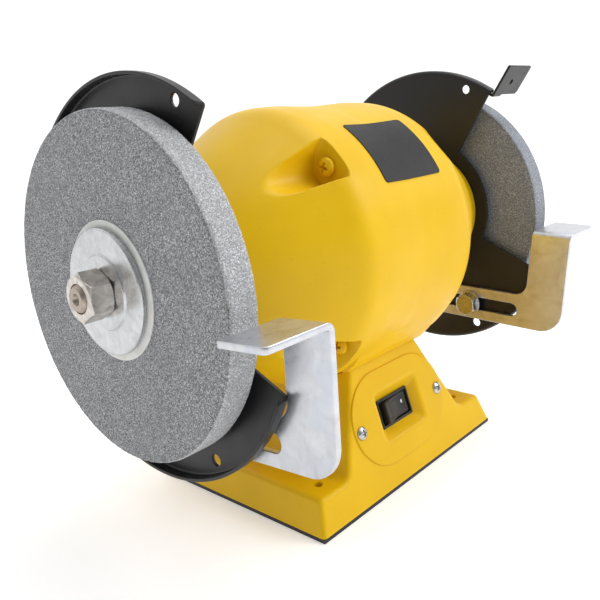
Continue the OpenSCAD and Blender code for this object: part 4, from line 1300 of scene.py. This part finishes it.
def camera():
    yaw, pitch, roll = (math.radians(a) for a in (CAMERA_YAW, CAMERA_PITCH, CAMERA_ROLL))
    ahead = Vector((math.sin(yaw) * math.cos(pitch), math.cos(yaw) * math.cos(pitch), math.sin(pitch)))
    level = Vector((math.cos(yaw), -math.sin(yaw), 0))
    above = level.cross(ahead)
    right = level * math.cos(roll) + above * math.sin(roll)
    up = above * math.cos(roll) - level * math.sin(roll)
    data = bpy.data.cameras.new("camera")
    data.sensor_width = SENSOR
    data.lens = FOCAL * SENSOR / PICTURE
    data.shift_x = (PICTURE / 2 - CENTRE[0]) / PICTURE
    data.shift_y = (CENTRE[1] - PICTURE / 2) / PICTURE
    thing = add_object("camera", data)
    place = Matrix((right, up, -ahead)).transposed().to_4x4()
    place.translation = Vector(CAMERA_PLACE) * MM
    thing.matrix_world = place
    bpy.context.scene.camera = thing


def lamp(name, place, size, power):
    data = bpy.data.lights.new(name, "AREA")
    data.shape, data.size, data.energy = "DISK", size, power
    thing = add_object(name, data)
    thing.location = place
    thing.rotation_mode = "QUATERNION"
    thing.rotation_quaternion = (Vector(LIT_SPOT) - Vector(place)).to_track_quat("-Z", "Y")


def stage():
    mesh = bpy.data.meshes.new("floor")
    corners = [(x * FLOOR_HALF, y * FLOOR_HALF, 0) for x, y in ((-1, -1), (1, -1), (1, 1), (-1, 1))]
    mesh.from_pydata(corners, [], [(0, 1, 2, 3)])
    floor = add_object("floor", mesh)
    look = Look("floor", Specular_IOR_Level=0.0)
    look.shader.inputs["Emission Color"].default_value = (1, 1, 1, 1)
    look.shader.inputs["Emission Strength"].default_value = FLOOR_GLOW
    tone = look.blend(look.noise(400, 2), (0.93, 0.93, 0.93), (0.95, 0.95, 0.95))
    mesh.materials.append(look.finish(tone, look.ramp(look.noise(30, 2), (0.3, 0.8), (0.7, 0.9))))
    studio()
    lamp("key", KEY_PLACE, 0.7, KEY_POWER)
    lamp("top", TOP_PLACE, 1.0, TOP_POWER)
    bpy.context.scene.view_settings.view_transform = "Standard"


def studio():
    """A world that is white behind the machine and dimmer on the side the camera stands."""
    world = bpy.data.worlds.new("studio")
    world.use_nodes = True
    tree = world.node_tree
    place = tree.nodes.new("ShaderNodeTexCoord")
    along = tree.nodes.new("ShaderNodeVectorMath")
    along.operation = "DOT_PRODUCT"
    along.inputs[1].default_value = Vector(BACK_WAY).normalized()
    tree.links.new(place.outputs["Generated"], along.inputs[0])
    spread = tree.nodes.new("ShaderNodeMapRange")
    spread.interpolation_type = "SMOOTHSTEP"
    for key, value in (("From Min", -0.7), ("From Max", 0.45), ("To Min", SKY_FRONT), ("To Max", SKY_BACK)):
        spread.inputs[key].default_value = value
    tree.links.new(along.outputs["Value"], spread.inputs["Value"])
    tree.links.new(spread.outputs["Result"], tree.nodes["Background"].inputs["Strength"])
    tree.nodes["Background"].inputs["Color"].default_value = (1, 1, 1, 1)
    bpy.context.scene.world = world


build()
dress()
camera()
stage()
